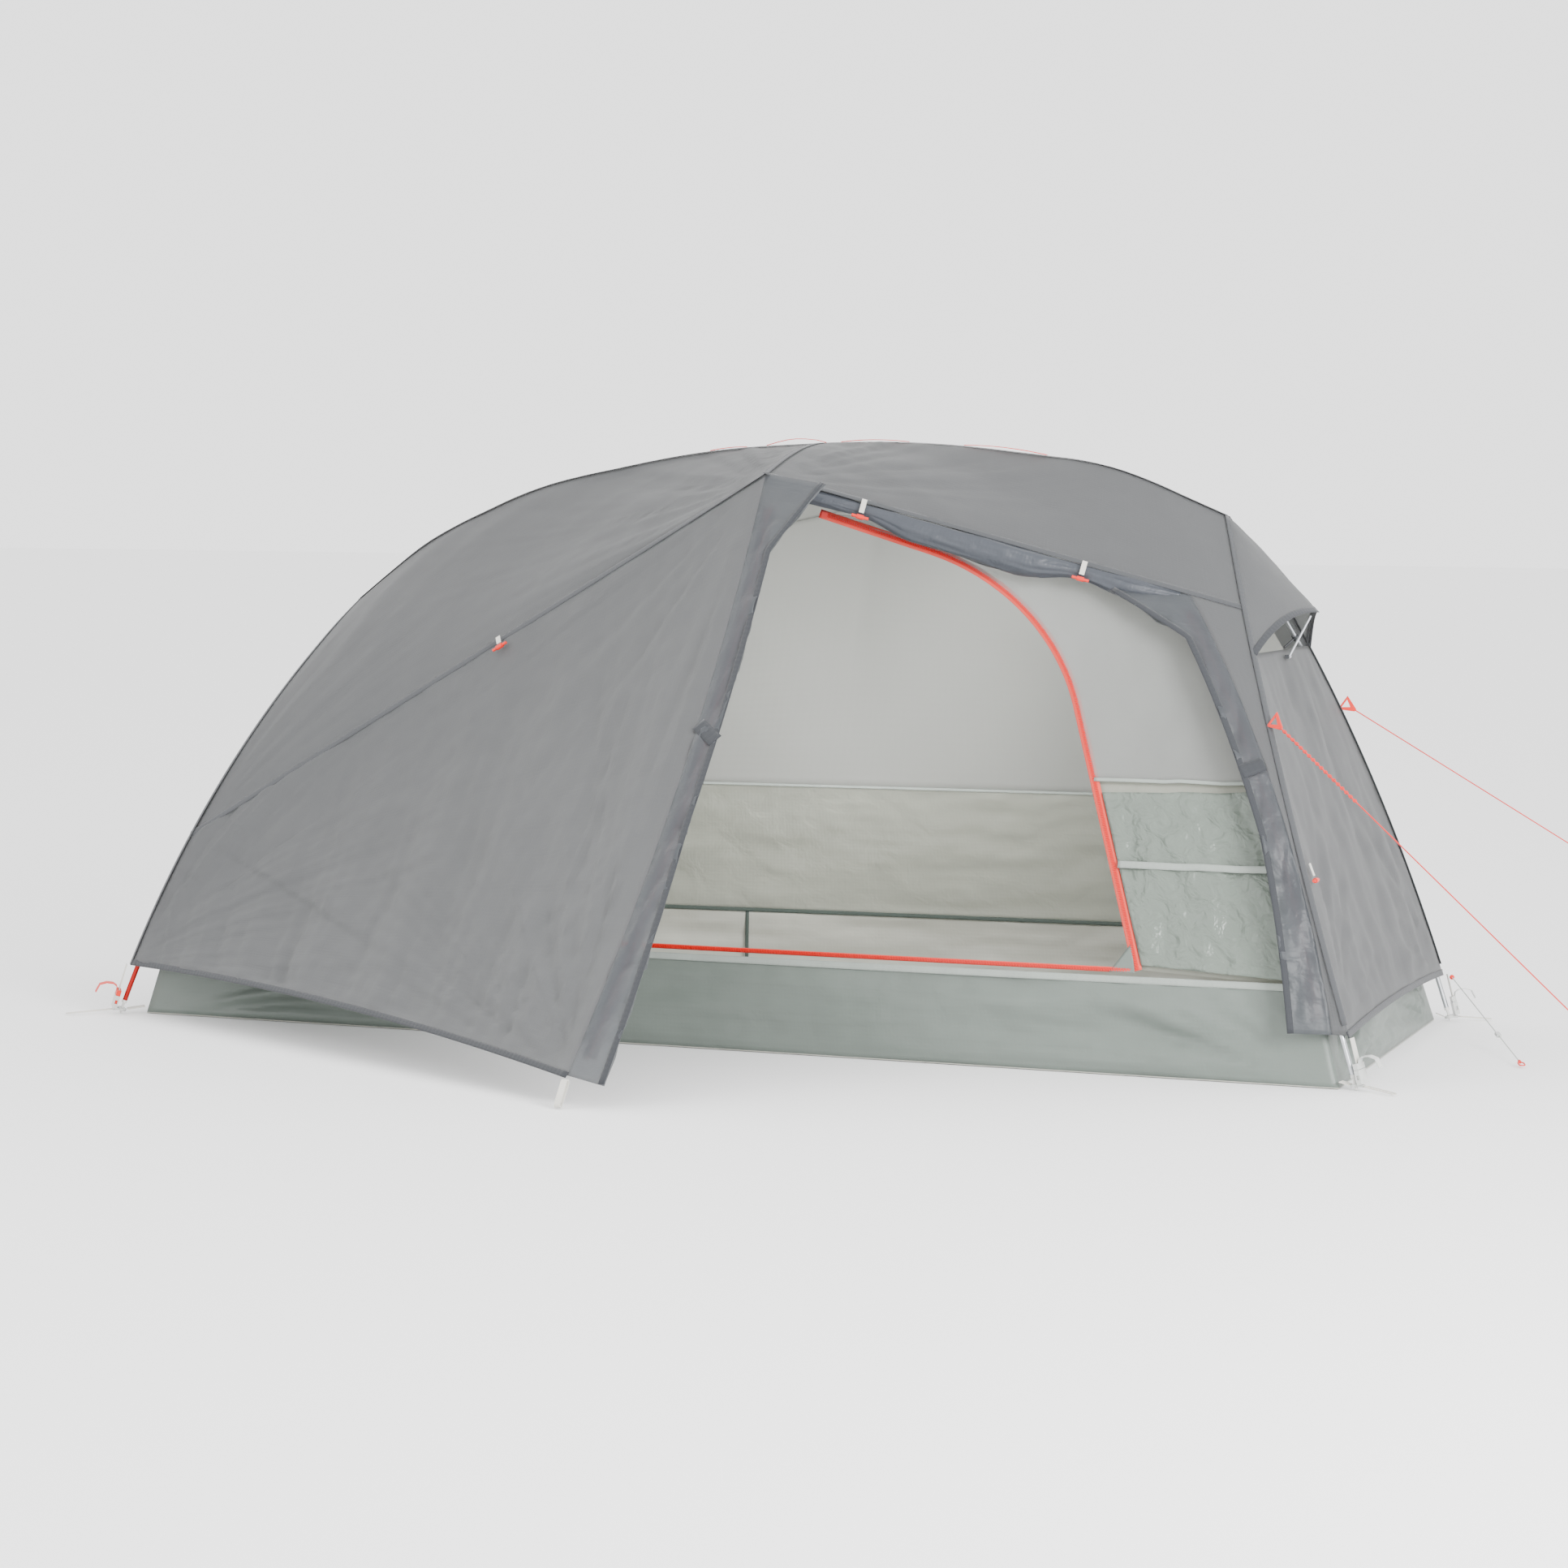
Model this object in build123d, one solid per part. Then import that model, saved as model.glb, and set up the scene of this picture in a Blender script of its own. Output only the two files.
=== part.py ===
from build123d import *
import math
import os

# One-person dome tent, pitched: hub pole frame, hung inner tent, rain fly with one door.
# Millimetres. +X points to the head end, -Y to the door, +Z up. The origin is the middle
# of the floor's underside, which lies on the ground.

os.makedirs("parts", exist_ok=True)

# ---- floor and frame layout ----
floor_length = 2232.0
floor_head_width = 935.0
floor_foot_width = 707.0
ridge_height = 1056.0          # top of the fly where the brow pole crosses
head_hub_inset = 308.0         # hub to the floor's head edge, along X
foot_hub_inset = 275.0
head_hub_drop = 138.0          # hub centre below the ridge height
foot_hub_drop = 307.0
head_tip_out = (32.0, 12.5)    # pole tip beyond the floor corner, along X and Y
foot_tip_out = (46.0, 31.5)
brow_x = 76.0
brow_half_span = 330.0
brow_rise = 57.0
head_leg_bow = 112.0           # middle of the leg off its straight line
foot_leg_bow = 88.0
leg_lean = 0.12                # share of the bow that points along the tent

# ---- poles ----
pole_od = 8.7
pole_wall = 0.6
ferrule_gap = 0.06             # radial gap between ferrule and tube
ferrule_wall = 0.5
ferrule_length = 56.0
section_gap = 0.4              # between two tube ends
bend_share = 0.36              # share of a spine run that is taken up by each bend
shock_cord_d = 2.8
tip_start = 30.0               # tube end above the ground, along the leg
tip_rod_d = 4.6
tip_collar_d = 8.7
tip_clear = 0.5

# ---- hubs, clips ----
hub_r = 10.0
socket_od = 12.6
socket_reach = 34.0
socket_seat = 12.0             # tube end from the hub's centre
socket_floor_gap = 0.5         # socket's floor behind the tube end
pole_fit = 0.2                 # radial gap of a tube in its socket
clip_gap = 0.35
clip_wall = 1.7
clip_width = 9.0
clip_stem_d = 4.0

# ---- fabric ----
fabric = 1.5                   # solid thickness that stands for cloth
mesh_cloth = 1.2
fly_off_pole = 13.5            # fly's outer face from a pole's axis
inner_off_pole = 32.0          # inner tent's outer face from a pole's axis
seam_gap = 2.0                 # each panel stops this far short of its seam
tub_wall_height = 160.0
tub_bow = 26.0
low_wall_top = 410.0           # top of the solid cloth on the far wall
floor_thickness = 2.0

# ---- fly outline ----
head_hem_height = 92.0
foot_hem_height = 97.0
vestibule_seam_height = 330.0  # where the vestibule seam meets the foot leg
roof_hem_height = 775.0        # where the roof's hem meets the head leg
vent_height = 700.0            # where the visor's hem meets the head legs
visor_reach = (166.0, -150.0)  # tip from the head hub, along X and Z
visor_hem_bow = 22.0
vestibule_corner_x = 18.0
vestibule_depth = 637.5        # vestibule corner beyond the head width of the floor
vestibule_corner_height = 48.0
door_seam_bow = 26.0
vestibule_hem_rise = 20.0
head_hem_rise = 12.0
hem_below_brow = 8.0           # fly's side corner beyond the brow pole's line

# ---- fly door ----
flap_top_width = 128.0
flap_width = 46.0
flap_foot_width = 74.0
flap_narrowing = 0.13          # share of the seam over which the flap narrows from its top
coil_width = 6.0
coil_height = 2.2
coil_depth = 11.0              # coil's middle inside the flap's outer face
coil_from_seam = 17.0
coil_span = (0.05, 0.965)      # zip's ends, as shares of its seam
zip_park = 16.0                # slider's middle from the zip's top end
zip_end_room = 44.0            # of the zip that the slider can't run along
strip_top_share = 0.885        # of the roof hem, where the door strip starts
toggle_places = (0.21, 0.67)   # along the roof hem
# Roll under the roof hem: share of the hem, and radius there.
roll_stations = ((0.09, 9.0), (0.21, 12.0), (0.33, 19.0), (0.55, 22.0), (0.67, 13.0), (0.77, 17.0), (0.87, 9.0))
roll_flatness = 0.8
roll_below_hem = 9.0

# ---- inner door ----
# The door zip's start, corner and end on the door wall: share from the brow pole to the head
# legs, and share from the eave down to the tub.
zip_shares = ((0.1095, 0.018), (0.6215, 0.180), (0.6995, 0.981))
zip_bend_radius = 373.0
zip_foot_end_x = -740.0
zip_above_tub = 13.0
inner_hang_gap = 26.0          # brow pole's axis to the inner tent
zip_to_wall = 16.0             # zip's middle to the wall's edge
wall_out = Vector(0.05, -0.95, 0.25)          # outward from the door wall
slider_fit = 0.35
inner_park = 9.0               # slider's middle from the end of an inner zip
inner_roll_radius = 22.0
inner_roll_inside = 34.0       # roll's axis inside the door wall
pocket_inside = 16.0           # pocket sheet inside the door wall
pocket_span = ((0.08, 0.90), (0.63, 0.965))   # shares across and down the head end of the wall

# ---- toggles ----
toggle_bar_length = 30.0
toggle_bar_r = 2.6
toggle_waist = (12.0, 4.2)     # length and radius of the thicker middle
toggle_loop_width = 9.0
toggle_hang = math.hypot(toggle_waist[0] / 2, toggle_waist[1]) + 0.4   # clears the loop at any turn
toggle_drops = {"door": 24.0, "vestibule": 16.0, "head_end": 22.0}
spare_toggle_share = 0.555     # along the vestibule seam
spare_toggle_height = 362.0    # on the head leg

# ---- vent prop and pole clips ----
prop_r = 2.2
prop_eye_r = 3.2
prop_pin_r = 1.2
prop_eye_gap = 0.1
spine_clips = (0.10, 0.25, 0.40, 0.62, 0.76, 0.90)
leg_clips = (0.28, 0.52, 0.74)

# ---- corner gear ----
strap_width = 12.0
strap_thickness = 1.4
buckle_width = 23.0
buckle_depth = 9.0
buckle_body = 24.0
buckle_wall = 1.6
plug_head = 10.0
plug_prong = 17.0
plug_fit = 0.4
floor_strap_width = 12.0
ring_r = 8.5                   # buckle's ring on the pole tip
ring_height = 4.4
peg_slot = 7.8                 # width inside a stake loop
peg_loop_wall = 2.2
peg_loop_thickness = 1.6
stake_reach = {"head": 74.0, "foot": 92.0}    # corner stake loop's end from the pole tip
front_loop_reach = 34.0        # vestibule stake loop's end from the vestibule corner
front_loop_width = 10.0

# ---- guylines ----
guy_cord_d = 2.2
thin_cord_d = 1.8
guy_height = 590.0             # of the guy loops on the head legs
guy_loop_lift = 10.0           # of a guy loop's base off the fly
guy_loop_reach = 32.0          # cord's start from the leg seam
guy_runs = {"near": Vector(552, -461.5, -398.5), "far": Vector(363, 305.5, -262.5)}
chain_length = 232.0
chain_d = 7.0
corner_guy_run = Vector(204.8, -554.4, -71.5)
corner_guy_adjuster = 0.70     # share of the corner guy's length
end_ring_width = 12.0

UP = Vector(0, 0, 1)
NEAR, FAR = -1, 1


# ---- helpers ----
def lerp(a, b, t):
    return a + (b - a) * t


def side_of(chord, outward):
    """The direction nearest to outward that is square to the chord."""
    return (outward - chord * outward.dot(chord)).normalized()


def bowed_arc(a, b, bow, outward):
    """Arc from a to b whose middle stands off its chord by bow, towards outward."""
    return ThreePointArc(a, lerp(a, b, 0.5) + side_of((b - a).normalized(), outward) * bow, b)


def part_of_arc(arc, start, end):
    return ThreePointArc(arc @ start, arc @ ((start + end) / 2), arc @ end)


def along(edge, distance):
    """Share of the edge's length that a distance from its start is."""
    return distance / edge.length


def rod(path, diameter):
    section = Plane(origin=path @ 0, z_dir=path % 0) * Circle(diameter / 2)
    return sweep(section, path=path)


def tube(path, od, bore):
    return rod(path, od) - rod(path, bore)


def cylinder_from(base, axis, radius, length):
    return Plane(origin=base, z_dir=axis) * Cylinder(
        radius, length, align=(Align.CENTER, Align.CENTER, Align.MIN))


def box_at(centre, x_dir, z_dir, size):
    return Plane(origin=centre, x_dir=x_dir, z_dir=z_dir) * Box(*size)


def where(curve, test):
    """The share along a curve at which test first turns true."""
    return next(i / 400 for i in range(401) if test(curve(i / 400)))


def patch(top, bottom, left, right):
    """Surface between four boundary curves: top and bottom run left to right,
    left and right run from the top to the bottom."""
    def point(u, v):
        across = lerp(top(u), bottom(u), v)
        down = lerp(left(v), right(v), u)
        corners = lerp(lerp(top(0), top(1), u), lerp(bottom(0), bottom(1), u), v)
        return across + down - corners
    return point


def grid_on(surface, rows, cols, u_range=(0, 1), v_range=(0, 1)):
    return [[surface(lerp(*u_range, j / cols), lerp(*v_range, i / rows))
             for j in range(cols + 1)] for i in range(rows + 1)]


def inset(grid, top=seam_gap, bottom=seam_gap, left=seam_gap, right=seam_gap):
    """Draw a grid's borders in from its seams."""
    def pull(a, b, gap):
        step = b - a
        return a if step.length <= gap else a + step.normalized() * gap
    out = [row[:] for row in grid]
    for j in range(len(grid[0])):
        out[0][j] = pull(grid[0][j], grid[1][j], top)
        out[-1][j] = pull(grid[-1][j], grid[-2][j], bottom)
    for row in out:
        row[0] = pull(row[0], row[1], left)
        row[-1] = pull(row[-1], row[-2], right)
    return out


def sheet(grid, thickness, inside):
    """Closed thin solid on a grid of points, thickened towards the point inside."""
    rows, cols = len(grid), len(grid[0])

    def normal(i, j):
        down = grid[min(i + 1, rows - 1)][j] - grid[max(i - 1, 0)][j]
        across = grid[i][min(j + 1, cols - 1)] - grid[i][max(j - 1, 0)]
        return down.cross(across).normalized()

    middle = grid[rows // 2][cols // 2]
    turn = 1 if normal(rows // 2, cols // 2).dot(inside - middle) > 0 else -1
    back = [[grid[i][j] + normal(i, j) * thickness * turn for j in range(cols)]
            for i in range(rows)]
    triangles = []
    for i in range(rows - 1):
        for j in range(cols - 1):
            for g in (grid, back):
                triangles.append((g[i][j], g[i + 1][j], g[i + 1][j + 1]))
                triangles.append((g[i][j], g[i + 1][j + 1], g[i][j + 1]))
    rim = [(0, j) for j in range(cols)] + [(i, cols - 1) for i in range(1, rows)]
    rim += [(rows - 1, j) for j in range(cols - 2, -1, -1)] + [(i, 0) for i in range(rows - 2, 0, -1)]
    for (a, b), (c, d) in zip(rim, rim[1:] + rim[:1]):
        triangles.append((grid[a][b], grid[c][d], back[c][d]))
        triangles.append((grid[a][b], back[c][d], back[a][b]))
    return Solid(Shell([Face(Wire.make_polygon(t, close=True)) for t in triangles]))


def band(points, width, across, thickness, inside):
    """Flat strap of constant width through points."""
    half = across.normalized() * (width / 2)
    return sheet([[p - half, p + half] for p in points], thickness, inside)


def mirrored(shape):
    return mirror(shape, about=Plane.XZ)


def save(name, *solids):
    group = [s for shape in solids for s in shape.solids()]
    shape = group[0] if len(group) == 1 else Compound(children=group)
    shape.label = name
    export_step(shape, f"parts/{name}.step")


# ---- frame: spine, legs and brow pole ----
head_x = floor_length / 2
foot_x = -floor_length / 2
head_hub = Vector(head_x - head_hub_inset, 0, ridge_height - head_hub_drop)
foot_hub = Vector(foot_x + foot_hub_inset, 0, ridge_height - foot_hub_drop)

# Corners of the spine's run between the hubs: share of the way, and drop from the ridge.
spine_corners = ((0.086, 196.0), (0.219, 98.0), (0.419, 34.0), (0.661, 17.0), (0.874, 52.0))
spine_points = [foot_hub]
spine_points += [Vector(lerp(foot_hub.X, head_hub.X, s), 0, ridge_height - drop)
                 for s, drop in spine_corners]
spine_points += [head_hub]


def bend_radius(a, b, c):
    half_turn = math.radians((b - a).get_angle(c - b)) / 2
    return bend_share * min((b - a).length, (c - b).length) / math.tan(half_turn)


spine_radii = [bend_radius(*spine_points[i - 1:i + 2]) for i in range(1, len(spine_points) - 1)]
spine = FilletPolyline(*spine_points, radius=spine_radii)
spine_at = lambda t: spine @ t
brow_share = where(spine_at, lambda p: p.X >= brow_x)
brow_lift = pole_od + 0.5
brow_top = Vector(brow_x, 0, (spine @ brow_share).Z + brow_lift)
brow_ends = [Vector(brow_x, side * brow_half_span, brow_top.Z - brow_rise) for side in (NEAR, FAR)]
brow = ThreePointArc(brow_ends[0], brow_top, brow_ends[1])

corners = {}
for end, hub, x, width, tip_out, bow in (
        ("head", head_hub, head_x, floor_head_width, head_tip_out, head_leg_bow),
        ("foot", foot_hub, foot_x, floor_foot_width, foot_tip_out, foot_leg_bow)):
    for name, side in (("near", NEAR), ("far", FAR)):
        sign = math.copysign(1, x)
        floor_corner = Vector(x, side * width / 2, 0)
        tip = floor_corner + Vector(sign * tip_out[0], side * tip_out[1], 0)
        outward = Vector(sign * leg_lean, side, 0)
        tube_end = tip + (hub - tip).normalized() * tip_start
        leg = bowed_arc(hub, tube_end, bow, outward)
        corners[end, name] = {
            "hub": hub, "side": side, "sign": sign, "floor": floor_corner, "tip": tip,
            "leg": leg, "out": side_of((tube_end - hub).normalized(), Vector(sign, side, 0))}


def tube_sections(path, cuts):
    """Tube pieces of one pole between cuts, given as distances along it."""
    pieces = []
    for start, end in zip(cuts, cuts[1:]):
        piece = part_of_arc(path, along(path, start + section_gap / 2), along(path, end - section_gap / 2))
        pieces.append(tube(piece, pole_od, pole_od - 2 * pole_wall))
    return pieces


ferrule_od = pole_od - 2 * pole_wall - 2 * ferrule_gap


def arc_ferrule(path, middle):
    half = ferrule_length / 2
    piece = part_of_arc(path, along(path, middle - half), along(path, middle + half))
    return tube(piece, ferrule_od, ferrule_od - 2 * ferrule_wall)


# The spine's tubes meet in the straight middle of each run.
joints = [lerp(a, b, 0.5) for a, b in zip(spine_points[1:], spine_points[2:-1])]
first_end = spine_points[0] + (spine_points[1] - spine_points[0]).normalized() * socket_seat
last_end = spine_points[-1] + (spine_points[-2] - spine_points[-1]).normalized() * socket_seat
ends = [first_end] + joints + [last_end]
spine_tubes = []
spine_ferrules = []
for i, (start, end) in enumerate(zip(ends, ends[1:])):
    corner = spine_points[i + 1]
    gap = section_gap / 2
    a = start + (corner - start).normalized() * gap
    b = end + (corner - end).normalized() * gap
    piece = FilletPolyline(a, corner, b, radius=[spine_radii[i]])
    spine_tubes.append(tube(piece, pole_od, pole_od - 2 * pole_wall))
for a, b in zip(spine_points[1:], spine_points[2:-1]):
    middle, way = lerp(a, b, 0.5), (b - a).normalized()
    base = middle - way * (ferrule_length / 2)
    spine_ferrules.append(cylinder_from(base, way, ferrule_od / 2, ferrule_length)
                          - cylinder_from(base, way, ferrule_od / 2 - ferrule_wall, ferrule_length))
save("spine_pole_tubes", *spine_tubes)

all_ferrules = list(spine_ferrules)
leg_tubes = {"head": [], "foot": []}
for (end, name), c in corners.items():
    leg = c["leg"]
    leg_tubes[end] += tube_sections(leg, [socket_seat, leg.length / 2, leg.length])
    all_ferrules.append(arc_ferrule(leg, leg.length / 2))
for end, tubes in leg_tubes.items():
    save(f"{end}_leg_poles", *tubes)
save("brow_pole", *tube_sections(brow, [0, brow.length / 2, brow.length]))
all_ferrules.append(arc_ferrule(brow, brow.length / 2))
save("pole_ferrules", *all_ferrules)

# Shock cords run inside the tubes and stop in the hubs and the tips.
cords = []
spine_cord = [first_end] + spine_points[1:-1] + [last_end]
cords.append(rod(FilletPolyline(*spine_cord, radius=spine_radii), shock_cord_d))
for c in corners.values():
    leg = c["leg"]
    cords.append(rod(part_of_arc(leg, along(leg, socket_seat), along(leg, leg.length - 14)), shock_cord_d))
cords.append(rod(part_of_arc(brow, along(brow, 12), along(brow, brow.length - 12)), shock_cord_d))
save("shock_cords", *cords)


# ---- hubs, brow swivel, end caps, tips ----
def hub_body(hub, seats):
    """Ball with a socket for each tube; a seat is the tube end's centre and its way out."""
    body = Pos(*hub) * Sphere(hub_r)
    for seat, way in seats:
        body += cylinder_from(hub, way, socket_od / 2, socket_reach)
    for seat, way in seats:
        body -= cylinder_from(seat - way * socket_floor_gap, way, pole_od / 2 + pole_fit, socket_reach)
    return body


def leg_seat(c):
    """Where a leg's tube end sits in its hub, and its way along the socket."""
    leg = c["leg"]
    seat = leg @ along(leg, socket_seat)
    return seat, ((leg @ along(leg, socket_reach)) - seat).normalized()


for end, hub, next_point in (("head", head_hub, spine_points[-2]), ("foot", foot_hub, spine_points[1])):
    spine_out = (next_point - hub).normalized()
    seats = [(hub + spine_out * socket_seat, spine_out)]
    seats += [leg_seat(corners[end, name]) for name in ("near", "far")]
    save(f"{end}_hub", hub_body(hub, seats))

spine_way = spine % brow_share
spine_mid = spine @ brow_share
spine_mid = Vector(brow_x, 0, spine_mid.Z)
clip_r = pole_od / 2 + clip_gap
swivel = cylinder_from(spine_mid - spine_way * 11, spine_way, clip_r + clip_wall, 22)
swivel += cylinder_from(brow_top - Vector(0, 9, 0), Vector(0, 1, 0), clip_r + clip_wall, 18)
swivel -= cylinder_from(spine_mid - spine_way * 20, spine_way, clip_r, 40)
swivel -= cylinder_from(brow_top - Vector(0, 20, 0), Vector(0, 1, 0), clip_r, 40)
save("brow_swivel_clip", swivel)

brow_caps = []
for share, way in ((0.0, -1), (1.0, 1)):
    end_point = brow @ share
    axis = (brow % share) * way
    plug_r = pole_od / 2 - pole_wall - 0.1
    cap = cylinder_from(end_point + axis * 0.3, axis, pole_od / 2, 4)
    cap += cylinder_from(end_point - axis * 10, axis, plug_r, 11)
    cap += Pos(*(end_point + axis * 7)) * Sphere(5.2)
    brow_caps.append(cap)
save("brow_pole_caps", *brow_caps)

tips = []
for (end, name), c in corners.items():
    base = c["leg"] @ 1
    axis = c["leg"] % 1
    length = (base.Z - tip_clear - tip_rod_d / 2) / -axis.Z
    tip_piece = cylinder_from(base - axis * 13, axis, pole_od / 2 - pole_wall - 0.1, 13.3)
    tip_piece += cylinder_from(base + axis * 0.3, axis, tip_collar_d / 2, 5)
    tip_piece += cylinder_from(base, axis, tip_rod_d / 2, length)
    tip_piece += Pos(*(base + axis * length)) * Sphere(tip_rod_d / 2)
    tips.append(tip_piece)
    c["tip_axis"] = axis
    c["tip_base"] = base
    c["tip_length"] = length
save("pole_tips", *tips)


# ---- lines that fly and inner tent follow along the poles ----
def spine_normal(t):
    way = spine % t
    return Vector(-way.Z, 0, way.X)


def ridge(t, off):
    lift = brow_lift * (t / brow_share if t < brow_share else (1 - t) / (1 - brow_share))
    return (spine @ t) + spine_normal(t) * (off + (lift if off > 0 else 0))


def leg_line(c, t, off):
    end_normal = spine_normal(1 if c["sign"] > 0 else 0)
    turn = min(t / 0.15, 1)
    return (c["leg"] @ t) + lerp(end_normal, c["out"], turn).normalized() * off


def brow_line(side, t, off):
    """From the ridge out to the near or the far end of the brow pole."""
    share = 0.5 - t / 2 if side == NEAR else 0.5 + t / 2
    way = brow % share
    return (brow @ share) + Vector(0, -way.Z, way.Y) * off


def leg_share(c, height, off=fly_off_pole):
    return where(lambda t: leg_line(c, t, off), lambda p: p.Z <= height)


def leg_piece(c, start, end, off=fly_off_pole):
    return lambda t: leg_line(c, lerp(start, end, t), off)


def straight(a, b):
    return lambda t: lerp(a, b, t)


def curve(edge):
    return lambda t: edge @ t


inside = Vector(0, 0, 300)
hn, hf = corners["head", "near"], corners["head", "far"]
fn, ff = corners["foot", "near"], corners["foot", "far"]

# ---- rain fly ----
seam_share = leg_share(fn, vestibule_seam_height)
roof_share = leg_share(hn, roof_hem_height)
vent_share = leg_share(hn, vent_height)
head_hem = leg_share(hn, head_hem_height)
foot_hem = leg_share(fn, foot_hem_height)
seam_start = leg_line(fn, seam_share, fly_off_pole)
brow_corner = brow_line(NEAR, 1, fly_off_pole) + Vector(0, -hem_below_brow, 0)
roof_corner = leg_line(hn, roof_share, fly_off_pole)
vestibule_corner = Vector(vestibule_corner_x, -floor_head_width / 2 - vestibule_depth,
                          vestibule_corner_height)
foot_corner = leg_line(fn, foot_hem, fly_off_pole)
head_corner = leg_line(hn, head_hem, fly_off_pole)


def brow_edge(t):
    return lerp(brow_line(NEAR, t, fly_off_pole), brow_corner, t ** 4)


roof_foot = patch(lambda u: ridge(lerp(0, brow_share, u), fly_off_pole), straight(seam_start, brow_corner),
                  leg_piece(fn, 0, seam_share), brow_edge)
roof_foot_sheet = sheet(inset(grid_on(roof_foot, 5, 7), left=4), fabric, inside)
roof_head = patch(lambda u: ridge(lerp(brow_share, 1, u), fly_off_pole), straight(brow_corner, roof_corner),
                  brow_edge, leg_piece(hn, 0, roof_share))
roof_head_sheet = sheet(inset(grid_on(roof_head, 5, 7), right=4), fabric, inside)
save("fly_roof_foot_panels", roof_foot_sheet, mirrored(roof_foot_sheet))
save("fly_roof_head_panels", roof_head_sheet, mirrored(roof_head_sheet))

door_seam = bowed_arc(brow_corner, vestibule_corner, door_seam_bow, Vector(1, 0, 0))
vestibule_hem = bowed_arc(foot_corner, vestibule_corner, vestibule_hem_rise, UP)
vestibule = patch(straight(seam_start, brow_corner), curve(vestibule_hem),
                  leg_piece(fn, seam_share, foot_hem), curve(door_seam))
save("fly_vestibule_panel", sheet(inset(grid_on(vestibule, 5, 6)), fabric, inside))


def flip(p):
    return Vector(p.X, -p.Y, p.Z)


def eave(u):
    if u < 0.5:
        return lerp(flip(seam_start), flip(brow_corner), 2 * u)
    return lerp(flip(brow_corner), flip(roof_corner), 2 * u - 1)


far_hem = bowed_arc(flip(foot_corner), flip(head_corner), vestibule_hem_rise, UP)
far_wall = patch(eave, curve(far_hem), leg_piece(ff, seam_share, foot_hem),
                 leg_piece(hf, roof_share, head_hem))
save("fly_wall_far", sheet(inset(grid_on(far_wall, 7, 8)), fabric, inside))

foot_hem_line = bowed_arc(foot_corner, flip(foot_corner), head_hem_rise, UP)
foot_end = patch(lambda u: leg_line(fn, 0, fly_off_pole), curve(foot_hem_line),
                 leg_piece(fn, 0, foot_hem), leg_piece(ff, 0, foot_hem))
save("fly_foot_end", sheet(inset(grid_on(foot_end, 8, 4), top=26), fabric, inside))

vent_near = leg_line(hn, vent_share, fly_off_pole)
head_hem_line = bowed_arc(head_corner, flip(head_corner), head_hem_rise, UP)
head_end = patch(straight(vent_near, flip(vent_near)), curve(head_hem_line),
                 leg_piece(hn, vent_share, head_hem), leg_piece(hf, vent_share, head_hem))
save("fly_head_end", sheet(inset(grid_on(head_end, 7, 4), top=6), fabric, inside))

hub_top = leg_line(hn, 0, fly_off_pole)
visor_point = head_hub + Vector(visor_reach[0], 0, visor_reach[1])
visor_hem = bowed_arc(vent_near, visor_point, visor_hem_bow, UP)
visor_half = patch(lambda u: hub_top, curve(visor_hem),
                   leg_piece(hn, 0, vent_share), straight(hub_top, visor_point))
visor_sheet = sheet(inset(grid_on(visor_half, 4, 4), top=26, right=0.4), fabric, inside)
save("fly_vent_visor", visor_sheet, mirrored(visor_sheet))

# ---- fly door: side strip, storm flaps, zips, rolled panel ----
strip_top = lerp(brow_corner, roof_corner, strip_top_share)
strip_foot = head_corner + Vector(-24, -4, 0)
strip_mid = leg_line(hn, lerp(roof_share, head_hem, 0.52), fly_off_pole) + Vector(-13, -6, 0)
strip_seam = ThreePointArc(strip_top, strip_mid, strip_foot)
strip = patch(straight(strip_top, roof_corner), straight(strip_foot, head_corner),
              curve(strip_seam), leg_piece(hn, roof_share, head_hem))
save("fly_side_strip", sheet(inset(grid_on(strip, 6, 1)), fabric, inside))


def flap_grid(seam, outward, rows, grow):
    """Strip beside a seam: wide at its top, narrow along its length, wider at its foot."""
    grid = []
    for i in range(rows + 1):
        t = (i / rows) ** 1.6
        wide = flap_width + (flap_top_width * grow - flap_width) * max(0, 1 - t / flap_narrowing)
        wide += (flap_foot_width - flap_width) * max(0, (t - 0.6) / 0.4)
        edge = seam @ t
        grid.append([edge + outward * (wide * k / 2) for k in range(3)])
    return grid


door_way = Vector(1, 0, 0)
left_flap_way = (door_way - UP * 0.15 - Vector(0, 0.28, 0)).normalized()
right_flap_way = Vector(-0.93, -0.30, 0.02).normalized()
left_flap = flap_grid(door_seam, left_flap_way, 8, 1.0)
right_flap = flap_grid(strip_seam, right_flap_way, 8, 1.1)
save("storm_flaps", *[sheet(inset(grid, top=14, left=4), fabric, inside) for grid in (left_flap, right_flap)])


def coil_arc(seam, way, into, start, end):
    """Arc of a zip's coil beside and inside a seam."""
    points = [(seam @ t) + way * coil_from_seam + into * coil_depth
              for t in (start, (start + end) / 2, end)]
    return ThreePointArc(*points)


def coil(path, flat):
    section = Plane(origin=path @ 0, x_dir=flat, z_dir=path % 0) * Rectangle(coil_width, coil_height)
    return sweep(section, path=path)


def slider_body(centre, way, flat):
    """Zip slider: a channel body that rides on the coil, with its pull tab's bridge."""
    face = way.cross(flat)
    body = box_at(centre, flat, way, (coil_width + 4, coil_height + 3.4, 11))
    body -= box_at(centre, flat, way, (coil_width + 2 * slider_fit, coil_height + 2 * slider_fit, 12))
    bridge_base = centre + face * (coil_height / 2 + 1.6)
    body += box_at(bridge_base + face * 1.0, flat, way, (2.0, 2.4, 7))
    body += box_at(bridge_base + face * 1.4 + way * 12, flat, way, (5.0, 1.2, 20))
    return body


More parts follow.
